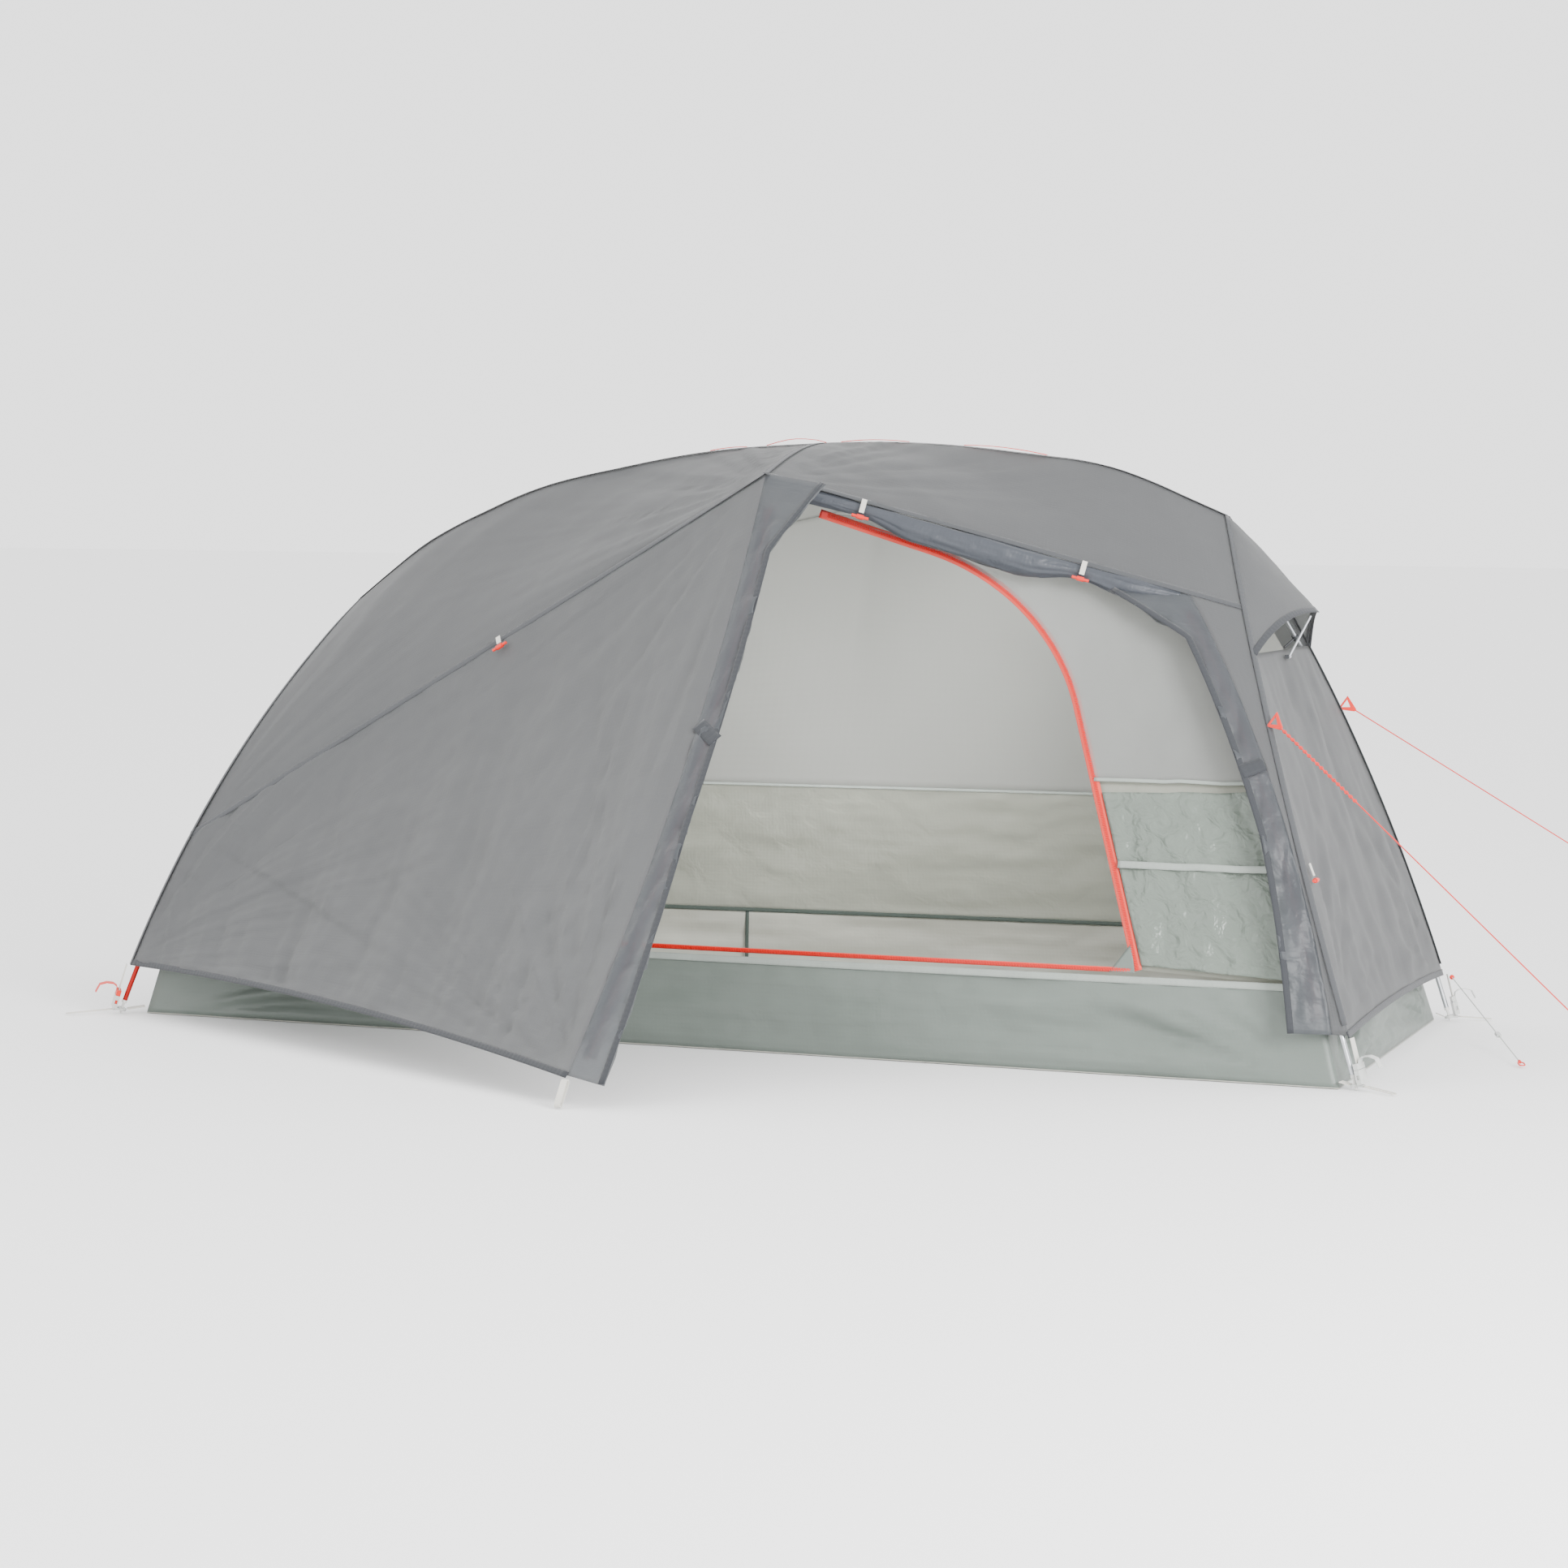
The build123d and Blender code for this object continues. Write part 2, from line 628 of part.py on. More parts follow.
left_into = left_flap_way.cross(door_seam % 0.5)
left_into = left_into if left_into.Y > 0 else left_into * -1
right_into = right_flap_way.cross(strip_seam % 0.5)
right_into = right_into if right_into.Y > 0 else right_into * -1
left_coil = coil_arc(door_seam, left_flap_way, left_into, *coil_span)
right_coil = coil_arc(strip_seam, right_flap_way, right_into, *coil_span)
save("fly_zip_coils", coil(left_coil, left_flap_way), coil(right_coil, right_flap_way))
zip_axes = {}
for name, path, flat in (("left", left_coil, left_flap_way), ("right", right_coil, right_flap_way)):
    parked = along(path, zip_park)
    way = path % parked
    save(f"fly_zip_slider_{name}", slider_body(path @ parked, way, side_of(way, flat)))
    centre = path.arc_center
    axis = ((path @ 0) - centre).cross((path @ 1) - centre).normalized()
    sweep_deg = math.degrees((path.length - zip_end_room) / path.radius)
    zip_axes[name] = (centre, axis, sweep_deg)

hem_way = (roof_corner - brow_corner).normalized()
door_out = side_of(hem_way, Vector(0.35, -1, 0.2))
hem_down = side_of(hem_way, UP * -1)
roll_sections = []
for share, r in roll_stations:
    centre = lerp(brow_corner, roof_corner, share) + hem_down * (r + roll_below_hem)
    place = Plane(origin=centre, x_dir=hem_down, z_dir=hem_way)
    roll_sections.append(place * Ellipse(r, r * roll_flatness))
save("rolled_fly_door", loft(roll_sections, ruled=True))


# ---- toggles and their loops ----
def toggle_and_loop(base, down, out, drop):
    """Webbing loop hanging from base, and the bar toggle in its end."""
    across = down.cross(out).normalized()
    start = base + out * 2.5
    end = base + down * drop + out * 3.5
    loop = band([start, end], toggle_loop_width, across, 1.2, start + out * 50)
    centre = end + down * toggle_hang + out * 1.0
    waist, waist_r = toggle_waist
    bar = cylinder_from(centre - across * (toggle_bar_length / 2), across, toggle_bar_r, toggle_bar_length)
    bar += cylinder_from(centre - across * (waist / 2), across, waist_r, waist)
    return loop, bar, centre


toggle_loops = []
toggle_pins = {}
for name, share in zip(("door_toggle_foot", "door_toggle_head"), toggle_places):
    base = lerp(brow_corner, roof_corner, share) + door_out * 15
    loop, bar, pin = toggle_and_loop(base, hem_down, door_out, toggle_drops["door"])
    toggle_loops.append(loop)
    save(name, bar)
    toggle_pins[name] = (pin, door_out)
panel_out = side_of((brow_corner - seam_start).normalized(), Vector(-0.35, -1, 0.55))
spare_base = lerp(seam_start, brow_corner, spare_toggle_share) + panel_out * 8
panel_down = panel_out.cross((brow_corner - seam_start).normalized())
panel_down = panel_down if panel_down.Z < 0 else panel_down * -1
loop, bar, pin = toggle_and_loop(spare_base, panel_down, panel_out, toggle_drops["vestibule"])
toggle_loops.append(loop)
save("spare_toggle_vestibule", bar)
toggle_pins["spare_toggle_vestibule"] = (pin, panel_out)
end_share = leg_share(hn, spare_toggle_height)
end_base = leg_line(hn, end_share, fly_off_pole) + Vector(6, 16, 0)
end_out = Vector(0.94, -0.05, 0.33).normalized()
end_down = side_of(end_out, UP * -1)
loop, bar, pin = toggle_and_loop(end_base, end_down, end_out, toggle_drops["head_end"])
toggle_loops.append(loop)
save("spare_toggle_head_end", bar)
toggle_pins["spare_toggle_head_end"] = (pin, end_out)
save("toggle_loops", *toggle_loops)

# ---- vent prop: a stick from the head end panel to under the visor's tip ----
prop_foot = lerp(vent_near, flip(vent_near), 0.5) + Vector(13, 0, -12)
prop_top = visor_point + Vector(-9, 0, -7)
prop_way = (prop_top - prop_foot).normalized()
across_tent = Vector(0, 1, 0)
prop = cylinder_from(prop_foot + prop_way * prop_eye_r, prop_way, prop_r, (prop_top - prop_foot).length - 6)
prop += cylinder_from(prop_foot - across_tent * 6, across_tent, prop_eye_r, 12)
prop -= cylinder_from(prop_foot - across_tent * 8, across_tent, prop_pin_r + prop_eye_gap, 16)
save("vent_prop", prop)
pin = cylinder_from(prop_foot - across_tent * 10, across_tent, prop_pin_r, 20)
for side in (-1, 1):
    pin += Pos(*(prop_foot + Vector(-1.5, side * 8.4, 0))) * Box(7, 3, 6.4)
save("vent_prop_pin", pin)


# ---- corner gear: socket with buckle, plug, straps, stake loop ----
def peg_loop(start, end, face, thickness):
    """Flat closed loop of webbing from start to end, open in its middle for a peg."""
    way = (end - start).normalized()
    length = (end - start).length
    outline = SlotOverall(length, peg_slot + 2 * peg_loop_wall)
    hole = SlotOverall(length - 2 * peg_loop_wall, peg_slot)
    frame = Plane(origin=lerp(start, end, 0.5), x_dir=way, z_dir=side_of(way, face))
    return frame * extrude(outline - hole, thickness / 2, both=True)


def corner_gear(c, hem_corner):
    """Solids at one corner: buckle socket, plug with strap tail, fly strap, floor strap, stake loop."""
    away = Vector(c["tip"].X - c["floor"].X, c["tip"].Y - c["floor"].Y, 0).normalized()
    ring_centre = c["tip_base"] + c["tip_axis"] * (c["tip_length"] - 6)
    ring_axis = c["tip_axis"] * -1
    root = ring_centre + away * 15 + UP * 2
    hem = hem_corner + away * 9 + UP * -3
    axis = (hem - root).normalized()
    flat = side_of(axis, Vector(-away.Y, away.X, 0))
    ring = cylinder_from(ring_centre - ring_axis * (ring_height / 2), ring_axis, ring_r, ring_height)
    ring += box_at(ring_centre + away * 10, flat, UP, (10, 12, 4))
    body_mid = root + axis * (buckle_body / 2 + 2)
    body = box_at(body_mid, flat, axis, (buckle_width, buckle_depth, buckle_body))
    cavity = box_at(body_mid + axis * 3, flat, axis,
                    (buckle_width - 2 * buckle_wall, buckle_depth - 2 * buckle_wall, buckle_body))
    window = box_at(body_mid, flat, axis, (buckle_width * 2, buckle_depth - 2 * buckle_wall - 1, 7))
    bore = cylinder_from(ring_centre - ring_axis * 6, ring_axis, tip_rod_d / 2 + plug_fit, 12)
    socket = ring + body - cavity - window - bore

    head_mid = root + axis * (buckle_body + 2 + plug_head / 2 + 0.6)
    plug = box_at(head_mid, flat, axis, (buckle_width, buckle_depth - 1, plug_head))
    prong_x = buckle_width / 2 - buckle_wall - plug_fit - 1.6
    prong_depth = buckle_depth - 2 * buckle_wall - 2 * plug_fit
    for side in (-1, 1):
        place = head_mid - axis * (plug_head / 2 + plug_prong / 2 - 1) + flat * (side * prong_x)
        plug += box_at(place, flat, axis, (2.8, prong_depth, plug_prong))
    plug -= box_at(head_mid, flat, axis, (strap_width + 1.6, strap_thickness + 1.6, plug_head * 2))
    strap_start = root + axis * (buckle_body + 3)
    strap = band([strap_start, hem], strap_width, flat, strap_thickness,
                 strap_start + axis.cross(flat) * 50)
    shift = axis.cross(flat).normalized() * (-strap_thickness / 2)
    strap = Pos(*shift) * strap
    curl_base = head_mid + axis * (plug_head / 2 + 0.4) + away * 3.2
    curl = [curl_base + away * (26 * (1 - math.cos(math.radians(a))) / 1.2)
            + axis * (15 * math.sin(math.radians(a))) for a in (0, 30, 60, 95, 130)]
    curl.append(curl[-1] + away * 4 - axis * 15)
    tail = band(curl, strap_width, flat, strap_thickness, curl_base + away * 18)
    plug += box_at(curl_base - axis * 0.6, flat, axis, (strap_width, 2.4, 2.4))

    floor_point = c["floor"] + away * 4 + UP * 14
    ring_point = ring_centre - away * 9.2
    floor_strap = band([floor_point, ring_point + UP * 0.5], floor_strap_width, flat, strap_thickness,
                       ring_point - UP * 50)
    loop_start = ring_centre + away * 17
    loop_end = c["tip"] + away * stake_reach[c["end"]] + UP * 3.0
    loop = peg_loop(loop_start, loop_end, UP, peg_loop_thickness)
    return {"socket": socket, "plug": [plug, tail], "fly_strap": strap,
            "floor_strap": floor_strap, "loop": loop, "axis": axis, "root": root}


hem_corners = {("head", "near"): head_corner, ("head", "far"): flip(head_corner),
               ("foot", "near"): foot_corner, ("foot", "far"): flip(foot_corner)}
grouped = {}
plug_axes = {}
for (end, name), c in corners.items():
    c["end"] = end
    gear = corner_gear(c, hem_corners[end, name])
    save(f"buckle_plug_{end}_{name}", *gear["plug"])
    plug_axes[f"{end}_{name}"] = gear["axis"]
    for kind in ("socket", "fly_strap", "floor_strap", "loop"):
        grouped.setdefault((end, kind), []).append(gear[kind])
save("corner_sockets", *grouped["head", "socket"], *grouped["foot", "socket"])
save("corner_fly_straps", *grouped["head", "fly_strap"], *grouped["foot", "fly_strap"])
save("corner_floor_straps", *grouped["head", "floor_strap"], *grouped["foot", "floor_strap"])

front_way = Vector(vestibule_corner.X - brow_x, vestibule_corner.Y, 0).normalized()
front_end = vestibule_corner + front_way * front_loop_reach + UP * (2.5 - vestibule_corner_height)
front_start = vestibule_corner + front_way * 3 - UP * 6
front_loop = peg_loop(front_start, front_end, Vector(1, 0, 0), front_loop_width)
save("stake_loops", *grouped["head", "loop"], *grouped["foot", "loop"], front_loop)

# ---- inner tent ----
floor_outline = [corners["foot", "near"]["floor"], corners["head", "near"]["floor"],
                 corners["head", "far"]["floor"], corners["foot", "far"]["floor"]]
floor_face = Face(Wire.make_polygon([Vector(p.X, p.Y, 0) for p in floor_outline], close=True))
save("floor", extrude(floor_face, floor_thickness))

tub_share = {k: leg_share(c, tub_wall_height, -inner_off_pole) for k, c in corners.items()}
tub_top = {k: leg_line(c, tub_share[k], -inner_off_pole) for k, c in corners.items()}


def tub_edge(side_name, side):
    return bowed_arc(tub_top["foot", side_name], tub_top["head", side_name], tub_bow, Vector(0, side, 0))


near_edge, far_edge = tub_edge("near", NEAR), tub_edge("far", FAR)
lift = UP * (floor_thickness + 0.2)


def tub_wall(edge, a, b):
    surface = patch(curve(edge), straight(a + lift, b + lift),
                    straight(edge @ 0, a + lift), straight(edge @ 1, b + lift))
    return sheet(inset(grid_on(surface, 1, 6), top=0.5, bottom=0.2, left=3, right=3), fabric, inside)


end_edges = {end: Line(tub_top[end, "near"], tub_top[end, "far"]) for end in ("head", "foot")}
tub_walls = [tub_wall(near_edge, fn["floor"], hn["floor"]), tub_wall(far_edge, ff["floor"], hf["floor"])]
tub_walls += [tub_wall(end_edges["head"], hn["floor"], hf["floor"]),
              tub_wall(end_edges["foot"], fn["floor"], ff["floor"])]
save("bathtub_walls", *tub_walls)

inner_brow = brow_line(NEAR, 1, -inner_hang_gap) + Vector(0, 6, -10)
hub_hang = {"head": leg_line(hn, 0, -inner_off_pole), "foot": leg_line(fn, 0, -inner_off_pole)}


def eave_line(side):
    brow_point = inner_brow if side == NEAR else flip(inner_brow)

    def point(u):
        if u < 0.5:
            return lerp(hub_hang["foot"], brow_point, 2 * u)
        return lerp(brow_point, hub_hang["head"], 2 * u - 1)
    return point


low_share = {k: leg_share(c, low_wall_top, -inner_off_pole) for k, c in corners.items()}
low_point = {k: leg_line(c, low_share[k], -inner_off_pole) for k, c in corners.items()}
low_line = bowed_arc(low_point["foot", "far"], low_point["head", "far"], tub_bow / 2, Vector(0, FAR, 0))
far_low = patch(curve(low_line), curve(far_edge),
                leg_piece(ff, low_share["foot", "far"], tub_share["foot", "far"], -inner_off_pole),
                leg_piece(hf, low_share["head", "far"], tub_share["head", "far"], -inner_off_pole))
save("inner_low_wall_far", sheet(inset(grid_on(far_low, 2, 8), bottom=1.5), mesh_cloth, inside))
far_mesh = patch(eave_line(FAR), curve(low_line), leg_piece(ff, 0, low_share["foot", "far"], -inner_off_pole),
                 leg_piece(hf, 0, low_share["head", "far"], -inner_off_pole))
save("inner_mesh_wall_far", sheet(inset(grid_on(far_mesh, 5, 8), left=8, right=8), mesh_cloth, inside))

end_walls = []
for end, near_c, far_c in (("head", hn, hf), ("foot", fn, ff)):
    near_s, far_s = tub_share[end, "near"], tub_share[end, "far"]
    wall = patch(lambda u: hub_hang[end], curve(end_edges[end]),
                 leg_piece(near_c, 0, near_s, -inner_off_pole), leg_piece(far_c, 0, far_s, -inner_off_pole))
    end_walls.append(sheet(inset(grid_on(wall, 8, 4), top=30, bottom=1.5), mesh_cloth, inside))
save("inner_end_walls", *end_walls)


def inner_ridge(u):
    t = brow_share * 2 * u if u < 0.5 else lerp(brow_share, 1, 2 * u - 1)
    return ridge(t, -inner_off_pole)


brow_inner_top = ridge(brow_share, -inner_off_pole)
brow_inner = bowed_arc(brow_inner_top, inner_brow, 8, UP)
ceilings = []
for a, b, hub_point in ((0.0, 0.5, hub_hang["foot"]), (0.5, 1.0, hub_hang["head"])):
    ridge_part = lambda u, a=a, b=b: inner_ridge(lerp(a, b, u))
    if a == 0.0:
        roof = patch(ridge_part, straight(hub_point, inner_brow), lambda v, h=hub_point: h, curve(brow_inner))
        grid = inset(grid_on(roof, 3, 6), left=40)
    else:
        roof = patch(ridge_part, straight(inner_brow, hub_point), curve(brow_inner), lambda v, h=hub_point: h)
        grid = inset(grid_on(roof, 3, 6), right=40)
    ceiling = sheet(grid, mesh_cloth, inside)
    ceilings += [ceiling, mirrored(ceiling)]
save("inner_ceiling", *ceilings)


def near_wall(x, z):
    """Point on the flat of the inner tent's door wall."""
    share = where(lambda t: near_edge @ t, lambda p: p.X >= x)
    foot = near_edge @ share
    y = lerp(foot.Y, inner_brow.Y, (z - tub_wall_height) / (inner_brow.Z - tub_wall_height))
    return Vector(x, y, z)


brow_foot = where(lambda t: near_edge @ t, lambda p: p.X >= brow_x)
door_wall = patch(straight(inner_brow, hub_hang["head"]), lambda u: near_edge @ lerp(brow_foot, 1, u),
                  straight(inner_brow, near_edge @ brow_foot),
                  leg_piece(hn, 0, tub_share["head", "near"], -inner_off_pole))
zip_start, zip_corner, zip_end = [door_wall(*shares) for shares in zip_shares]
door_curve = FilletPolyline(zip_start, zip_corner, zip_end, radius=[zip_bend_radius])
hinge_top = inner_brow + Vector(-18, 0, -14)
hinge_foot = near_wall(zip_foot_end_x, tub_wall_height + zip_above_tub)



def door_edge(v):
    """Edge of the wall beside the door's zip, on its head side."""
    return (door_curve @ v) + wall_out.cross(door_curve % v).normalized() * zip_to_wall


zip_foot = where(lambda t: near_edge @ t, lambda p: p.X >= zip_end.X)
hinge_share = where(lambda t: near_edge @ t, lambda p: p.X >= zip_foot_end_x)
head_wall = patch(straight(door_edge(0), hub_hang["head"]),
                  lambda u: near_edge @ lerp(zip_foot, 1, u),
                  door_edge, leg_piece(hn, 0, tub_share["head", "near"], -inner_off_pole))
head_wall_sheet = sheet(inset(grid_on(head_wall, 9, 4), right=8, bottom=1.5), mesh_cloth, inside)
foot_wall = patch(straight(hub_hang["foot"], hinge_top),
                  lambda u: near_edge @ (hinge_share * u),
                  leg_piece(fn, 0, tub_share["foot", "near"], -inner_off_pole), straight(hinge_top, hinge_foot))
foot_wall_sheet = sheet(inset(grid_on(foot_wall, 6, 4), right=8, left=8, bottom=1.5), mesh_cloth, inside)
save("inner_door_walls", head_wall_sheet, foot_wall_sheet)
pocket = grid_on(head_wall, 2, 4, *pocket_span)
pocket = [[p + Vector(0, pocket_inside, 0) for p in row] for row in pocket]
save("wall_pocket", sheet(pocket, mesh_cloth, inside))

bottom_zip = Line(hinge_foot + Vector(10, 0, 0), Vector(zip_end.X - 12, zip_end.Y, zip_end.Z))
save("inner_zip_coils", coil(door_curve, side_of(door_curve % 0, UP)), coil(bottom_zip, UP))
top_way = (zip_corner - zip_start).normalized()
top_flat = side_of(top_way, UP)
top_parked = zip_start + top_way * inner_park
save("inner_zip_slider_top", slider_body(top_parked, top_way, top_flat * -1))
foot_way = bottom_zip % 0
foot_parked = (bottom_zip @ 0) + foot_way * inner_park
save("inner_zip_slider_foot", slider_body(foot_parked, foot_way, side_of(foot_way, UP * -1)))
top_run = (zip_corner - zip_start).length - zip_bend_radius * math.tan(
    math.radians((zip_corner - zip_start).get_angle(zip_end - zip_corner)) / 2)

roll_way = (hinge_foot - hinge_top).normalized()
roll_base = hinge_top + roll_way * 40 + Vector(0, inner_roll_inside, 0)
inner_roll = cylinder_from(roll_base, roll_way, inner_roll_radius, (hinge_foot - hinge_top).length - 100)
save("rolled_inner_door", inner_roll)

# ---- pole clips ----
clips = []
clip_spots = [(spine @ t, spine % t, spine_normal(t) * -1) for t in spine_clips]
for c in corners.values():
    clip_spots += [(c["leg"] @ t, c["leg"] % t, c["out"] * -1) for t in leg_clips]
for point, way, inward in clip_spots:
    inward = side_of(way, inward)
    clip = cylinder_from(point - way * (clip_width / 2), way, clip_r + clip_wall, clip_width)
    clip += cylinder_from(point, inward, clip_stem_d / 2, inner_off_pole - 3)
    clip -= cylinder_from(point - way * clip_width, way, clip_r, 2 * clip_width)
    clip -= box_at(point - inward * (clip_r + 2), side_of(way, way.cross(inward)), way,
                   (pole_od - 2.2, 2 * clip_r, 2 * clip_width))
    clips.append(clip)
save("pole_clips", *clips)


# ---- ridge webbing, guy loops and guylines ----
def ridge_strap(start, end, rise, width):
    points = []
    for i in range(7):
        s = i / 6
        t = where(spine_at, lambda p: p.X >= lerp(start, end, s))
        points.append(ridge(t, fly_off_pole) + UP * (1.6 + rise * 4 * s * (1 - s)))
    return band(points, width, Vector(0, 1, 0), 1.2, Vector(lerp(start, end, 0.5), 0, 3000))


save("ridge_webbing", ridge_strap(-150, -80, 1.5, 6), ridge_strap(-40, 70, 9, 4),
     ridge_strap(100, 225, 2.5, 8), ridge_strap(330, 480, 4, 14))

guy_share = leg_share(hn, guy_height)
guy_loops = []
guy_starts = []
for c, run in ((hn, guy_runs["near"]), (hf, guy_runs["far"])):
    base = leg_line(c, guy_share, fly_off_pole + guy_loop_lift)
    way = run.normalized()
    leg_way = side_of(way, c["leg"] % guy_share)
    face = way.cross(leg_way)
    plane = Plane(origin=base + way * 1.5, x_dir=way, z_dir=face)
    outline = Polyline((0, -15), (30, -2.5), (30, 2.5), (0, 15), close=True)
    hole = Polyline((3, -9), (18, 0), (3, 9), close=True)
    guy_loops.append(plane * extrude(make_face(outline) - make_face(hole), 1.0, both=True))
    guy_starts.append(base + way * guy_loop_reach)
save("guy_loops", *guy_loops)

near_way = guy_runs["near"].normalized()
near_guy_end = guy_starts[0] + guy_runs["near"]
far_guy_end = guy_starts[1] + guy_runs["far"]
chain_end = guy_starts[0] + near_way * chain_length
save("guyline_near_chain", cylinder_from(guy_starts[0], near_way, chain_d / 2, chain_length))
save("guyline_near", cylinder_from(chain_end, near_way, guy_cord_d / 2, (near_guy_end - chain_end).length))
far_way = guy_runs["far"].normalized()
save("guyline_far", cylinder_from(guy_starts[1], far_way, guy_cord_d / 2, (far_guy_end - guy_starts[1]).length))


def end_loop(point, way, size, cord_d):
    """Knot and closed loop at the end of a taut cord, as two solids."""
    knot = cylinder_from(point + way * 0.3, way, cord_d * 1.5, 7)
    plane = Plane(origin=point + way * (7.6 + size / 2), x_dir=way, z_dir=side_of(way, UP))
    hole = SlotOverall(size - 2 * cord_d, end_ring_width - 2 * cord_d)
    ring = plane * extrude(SlotOverall(size, end_ring_width) - hole, cord_d / 2, both=True)
    return [knot, ring]


corner_guy_start = flip(head_corner) + Vector(18, 6, -10)
corner_way = corner_guy_run.normalized()
corner_len = corner_guy_run.length
corner_guy_end = corner_guy_start + corner_guy_run
save("corner_guyline", cylinder_from(corner_guy_start, corner_way, thin_cord_d / 2, corner_len))
adjuster_at = corner_guy_start + corner_way * (corner_len * corner_guy_adjuster)
adjuster_flat = side_of(corner_way, Vector(0, 0, 1))
adjuster = box_at(adjuster_at, adjuster_flat, corner_way, (5.5, 7.5, 22))
adjuster -= cylinder_from(adjuster_at - corner_way * 20, corner_way, thin_cord_d / 2 + slider_fit, 40)
save("corner_guy_adjuster", adjuster)
tie = Pos(*(corner_guy_start - corner_way * 5)) * Sphere(4.6)
save("guy_end_loops", *end_loop(near_guy_end, near_way, 26, guy_cord_d),
     *end_loop(far_guy_end, far_way, 26, guy_cord_d), tie,
     *end_loop(corner_guy_end, corner_way, 22, thin_cord_d))

# ---- values that the joints and mounts take ----
for name, (centre, axis, degrees) in zip_axes.items():
    print("zip", name, "centre", centre, "axis", axis, "degrees", round(degrees, 3))
for name, (point, axis) in toggle_pins.items():
    print("toggle", name, point, axis)
for name, axis in plug_axes.items():
    print("plug", name, axis)
print("prop", prop_foot, prop_top)
print("top zip way", top_way, "run", round(top_run, 1))
print("foot zip way", foot_way, "run", round(bottom_zip.length, 1))
print("corner guy way", corner_way, "length", round(corner_len, 1), "from", corner_guy_start)
print("near guy", guy_starts[0], near_guy_end, "chain end", chain_end)
print("far guy", guy_starts[1], far_guy_end)
print("fly corners", head_corner, foot_corner, "brow", brow_corner, "roof", roof_corner,
      "seam", seam_start, "vent", vent_near, "hub", hub_top)
print("spine radii", [round(r) for r in spine_radii])
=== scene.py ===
"""Looks of a pitched one-person dome tent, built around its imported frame.

Metres throughout: +X is the head end, -Y the door side, +Z up, and the origin is the middle of
the floor's underside. Poles, hubs, clips, buckles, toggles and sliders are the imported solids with
their own finishes. Cloth, mesh, tapes, zips, rolls and cords are modelled here.
"""

from __future__ import annotations

import logging
import math
from dataclasses import dataclass, field
from enum import Enum
from typing import Callable, Sequence

import bmesh
import bpy
from mathutils import Matrix, Vector, noise

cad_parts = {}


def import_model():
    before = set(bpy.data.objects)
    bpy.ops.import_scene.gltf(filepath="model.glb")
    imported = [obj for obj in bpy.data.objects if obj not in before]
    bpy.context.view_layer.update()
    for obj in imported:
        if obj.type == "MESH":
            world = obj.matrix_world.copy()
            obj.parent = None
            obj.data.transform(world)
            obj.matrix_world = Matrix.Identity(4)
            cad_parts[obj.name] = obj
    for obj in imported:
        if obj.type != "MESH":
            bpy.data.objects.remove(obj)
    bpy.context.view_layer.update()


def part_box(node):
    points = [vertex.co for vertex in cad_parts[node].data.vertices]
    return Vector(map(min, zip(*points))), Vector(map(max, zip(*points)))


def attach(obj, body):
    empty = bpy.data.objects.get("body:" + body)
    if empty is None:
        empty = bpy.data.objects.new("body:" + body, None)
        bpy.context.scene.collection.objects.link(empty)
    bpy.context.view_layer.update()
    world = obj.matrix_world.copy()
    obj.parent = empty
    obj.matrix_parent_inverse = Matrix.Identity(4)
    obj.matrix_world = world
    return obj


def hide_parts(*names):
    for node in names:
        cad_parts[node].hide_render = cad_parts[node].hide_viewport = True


LOG = logging.getLogger("dome_tent")
Curve = Callable[[float], Vector]
Surface = Callable[[float, float], Vector]
UP = Vector((0, 0, 1))
ROOT = "tent"


class Side(Enum):
    """The two long sides of the tent."""

    NEAR = -1
    FAR = 1


class End(Enum):
    """The two ends of the tent."""

    FOOT = -1
    HEAD = 1


# ---- curves and surfaces ----
def lerp(a: Vector, b: Vector, t: float) -> Vector:
    """Point at share t of the way from a to b."""
    return a + (b - a) * t


def flip(p: Vector) -> Vector:
    """The same point on the other long side."""
    return Vector((p.x, -p.y, p.z))


def square_to(chord: Vector, outward: Vector) -> Vector:
    """Direction nearest to outward that is square to the chord."""
    return (outward - chord * outward.dot(chord)).normalized()


def straight(a: Vector, b: Vector) -> Curve:
    """Straight line from a to b."""
    return lambda t: lerp(a, b, t)


def arc(a: Vector, m: Vector, b: Vector) -> Curve:
    """Circular arc from a through m to b, at an even speed.

    Args:
        a: start of the arc.
        m: a point on the arc.
        b: end of the arc.

    Returns:
        The arc as a curve of a share from 0 to 1.
    """
    u, v = m - a, b - a
    axis = u.cross(v)
    size = axis.length_squared
    if size < 1e-14:
        return straight(a, b)
    to_centre = (axis.cross(u) * v.length_squared + v.cross(axis) * u.length_squared) / (2 * size)
    centre = a + to_centre
    x = (a - centre).normalized()
    n = axis.normalized()
    y = n.cross(x)
    radius = (a - centre).length
    turn = math.atan2((b - centre).dot(y), (b - centre).dot(x)) % (2 * math.pi)
    return lambda t: centre + (x * math.cos(turn * t) + y * math.sin(turn * t)) * radius


def bowed(a: Vector, b: Vector, bow: float, outward: Vector) -> Curve:
    """Arc from a to b whose middle stands off its chord by bow, towards outward."""
    return arc(a, lerp(a, b, 0.5) + square_to((b - a).normalized(), outward) * bow, b)


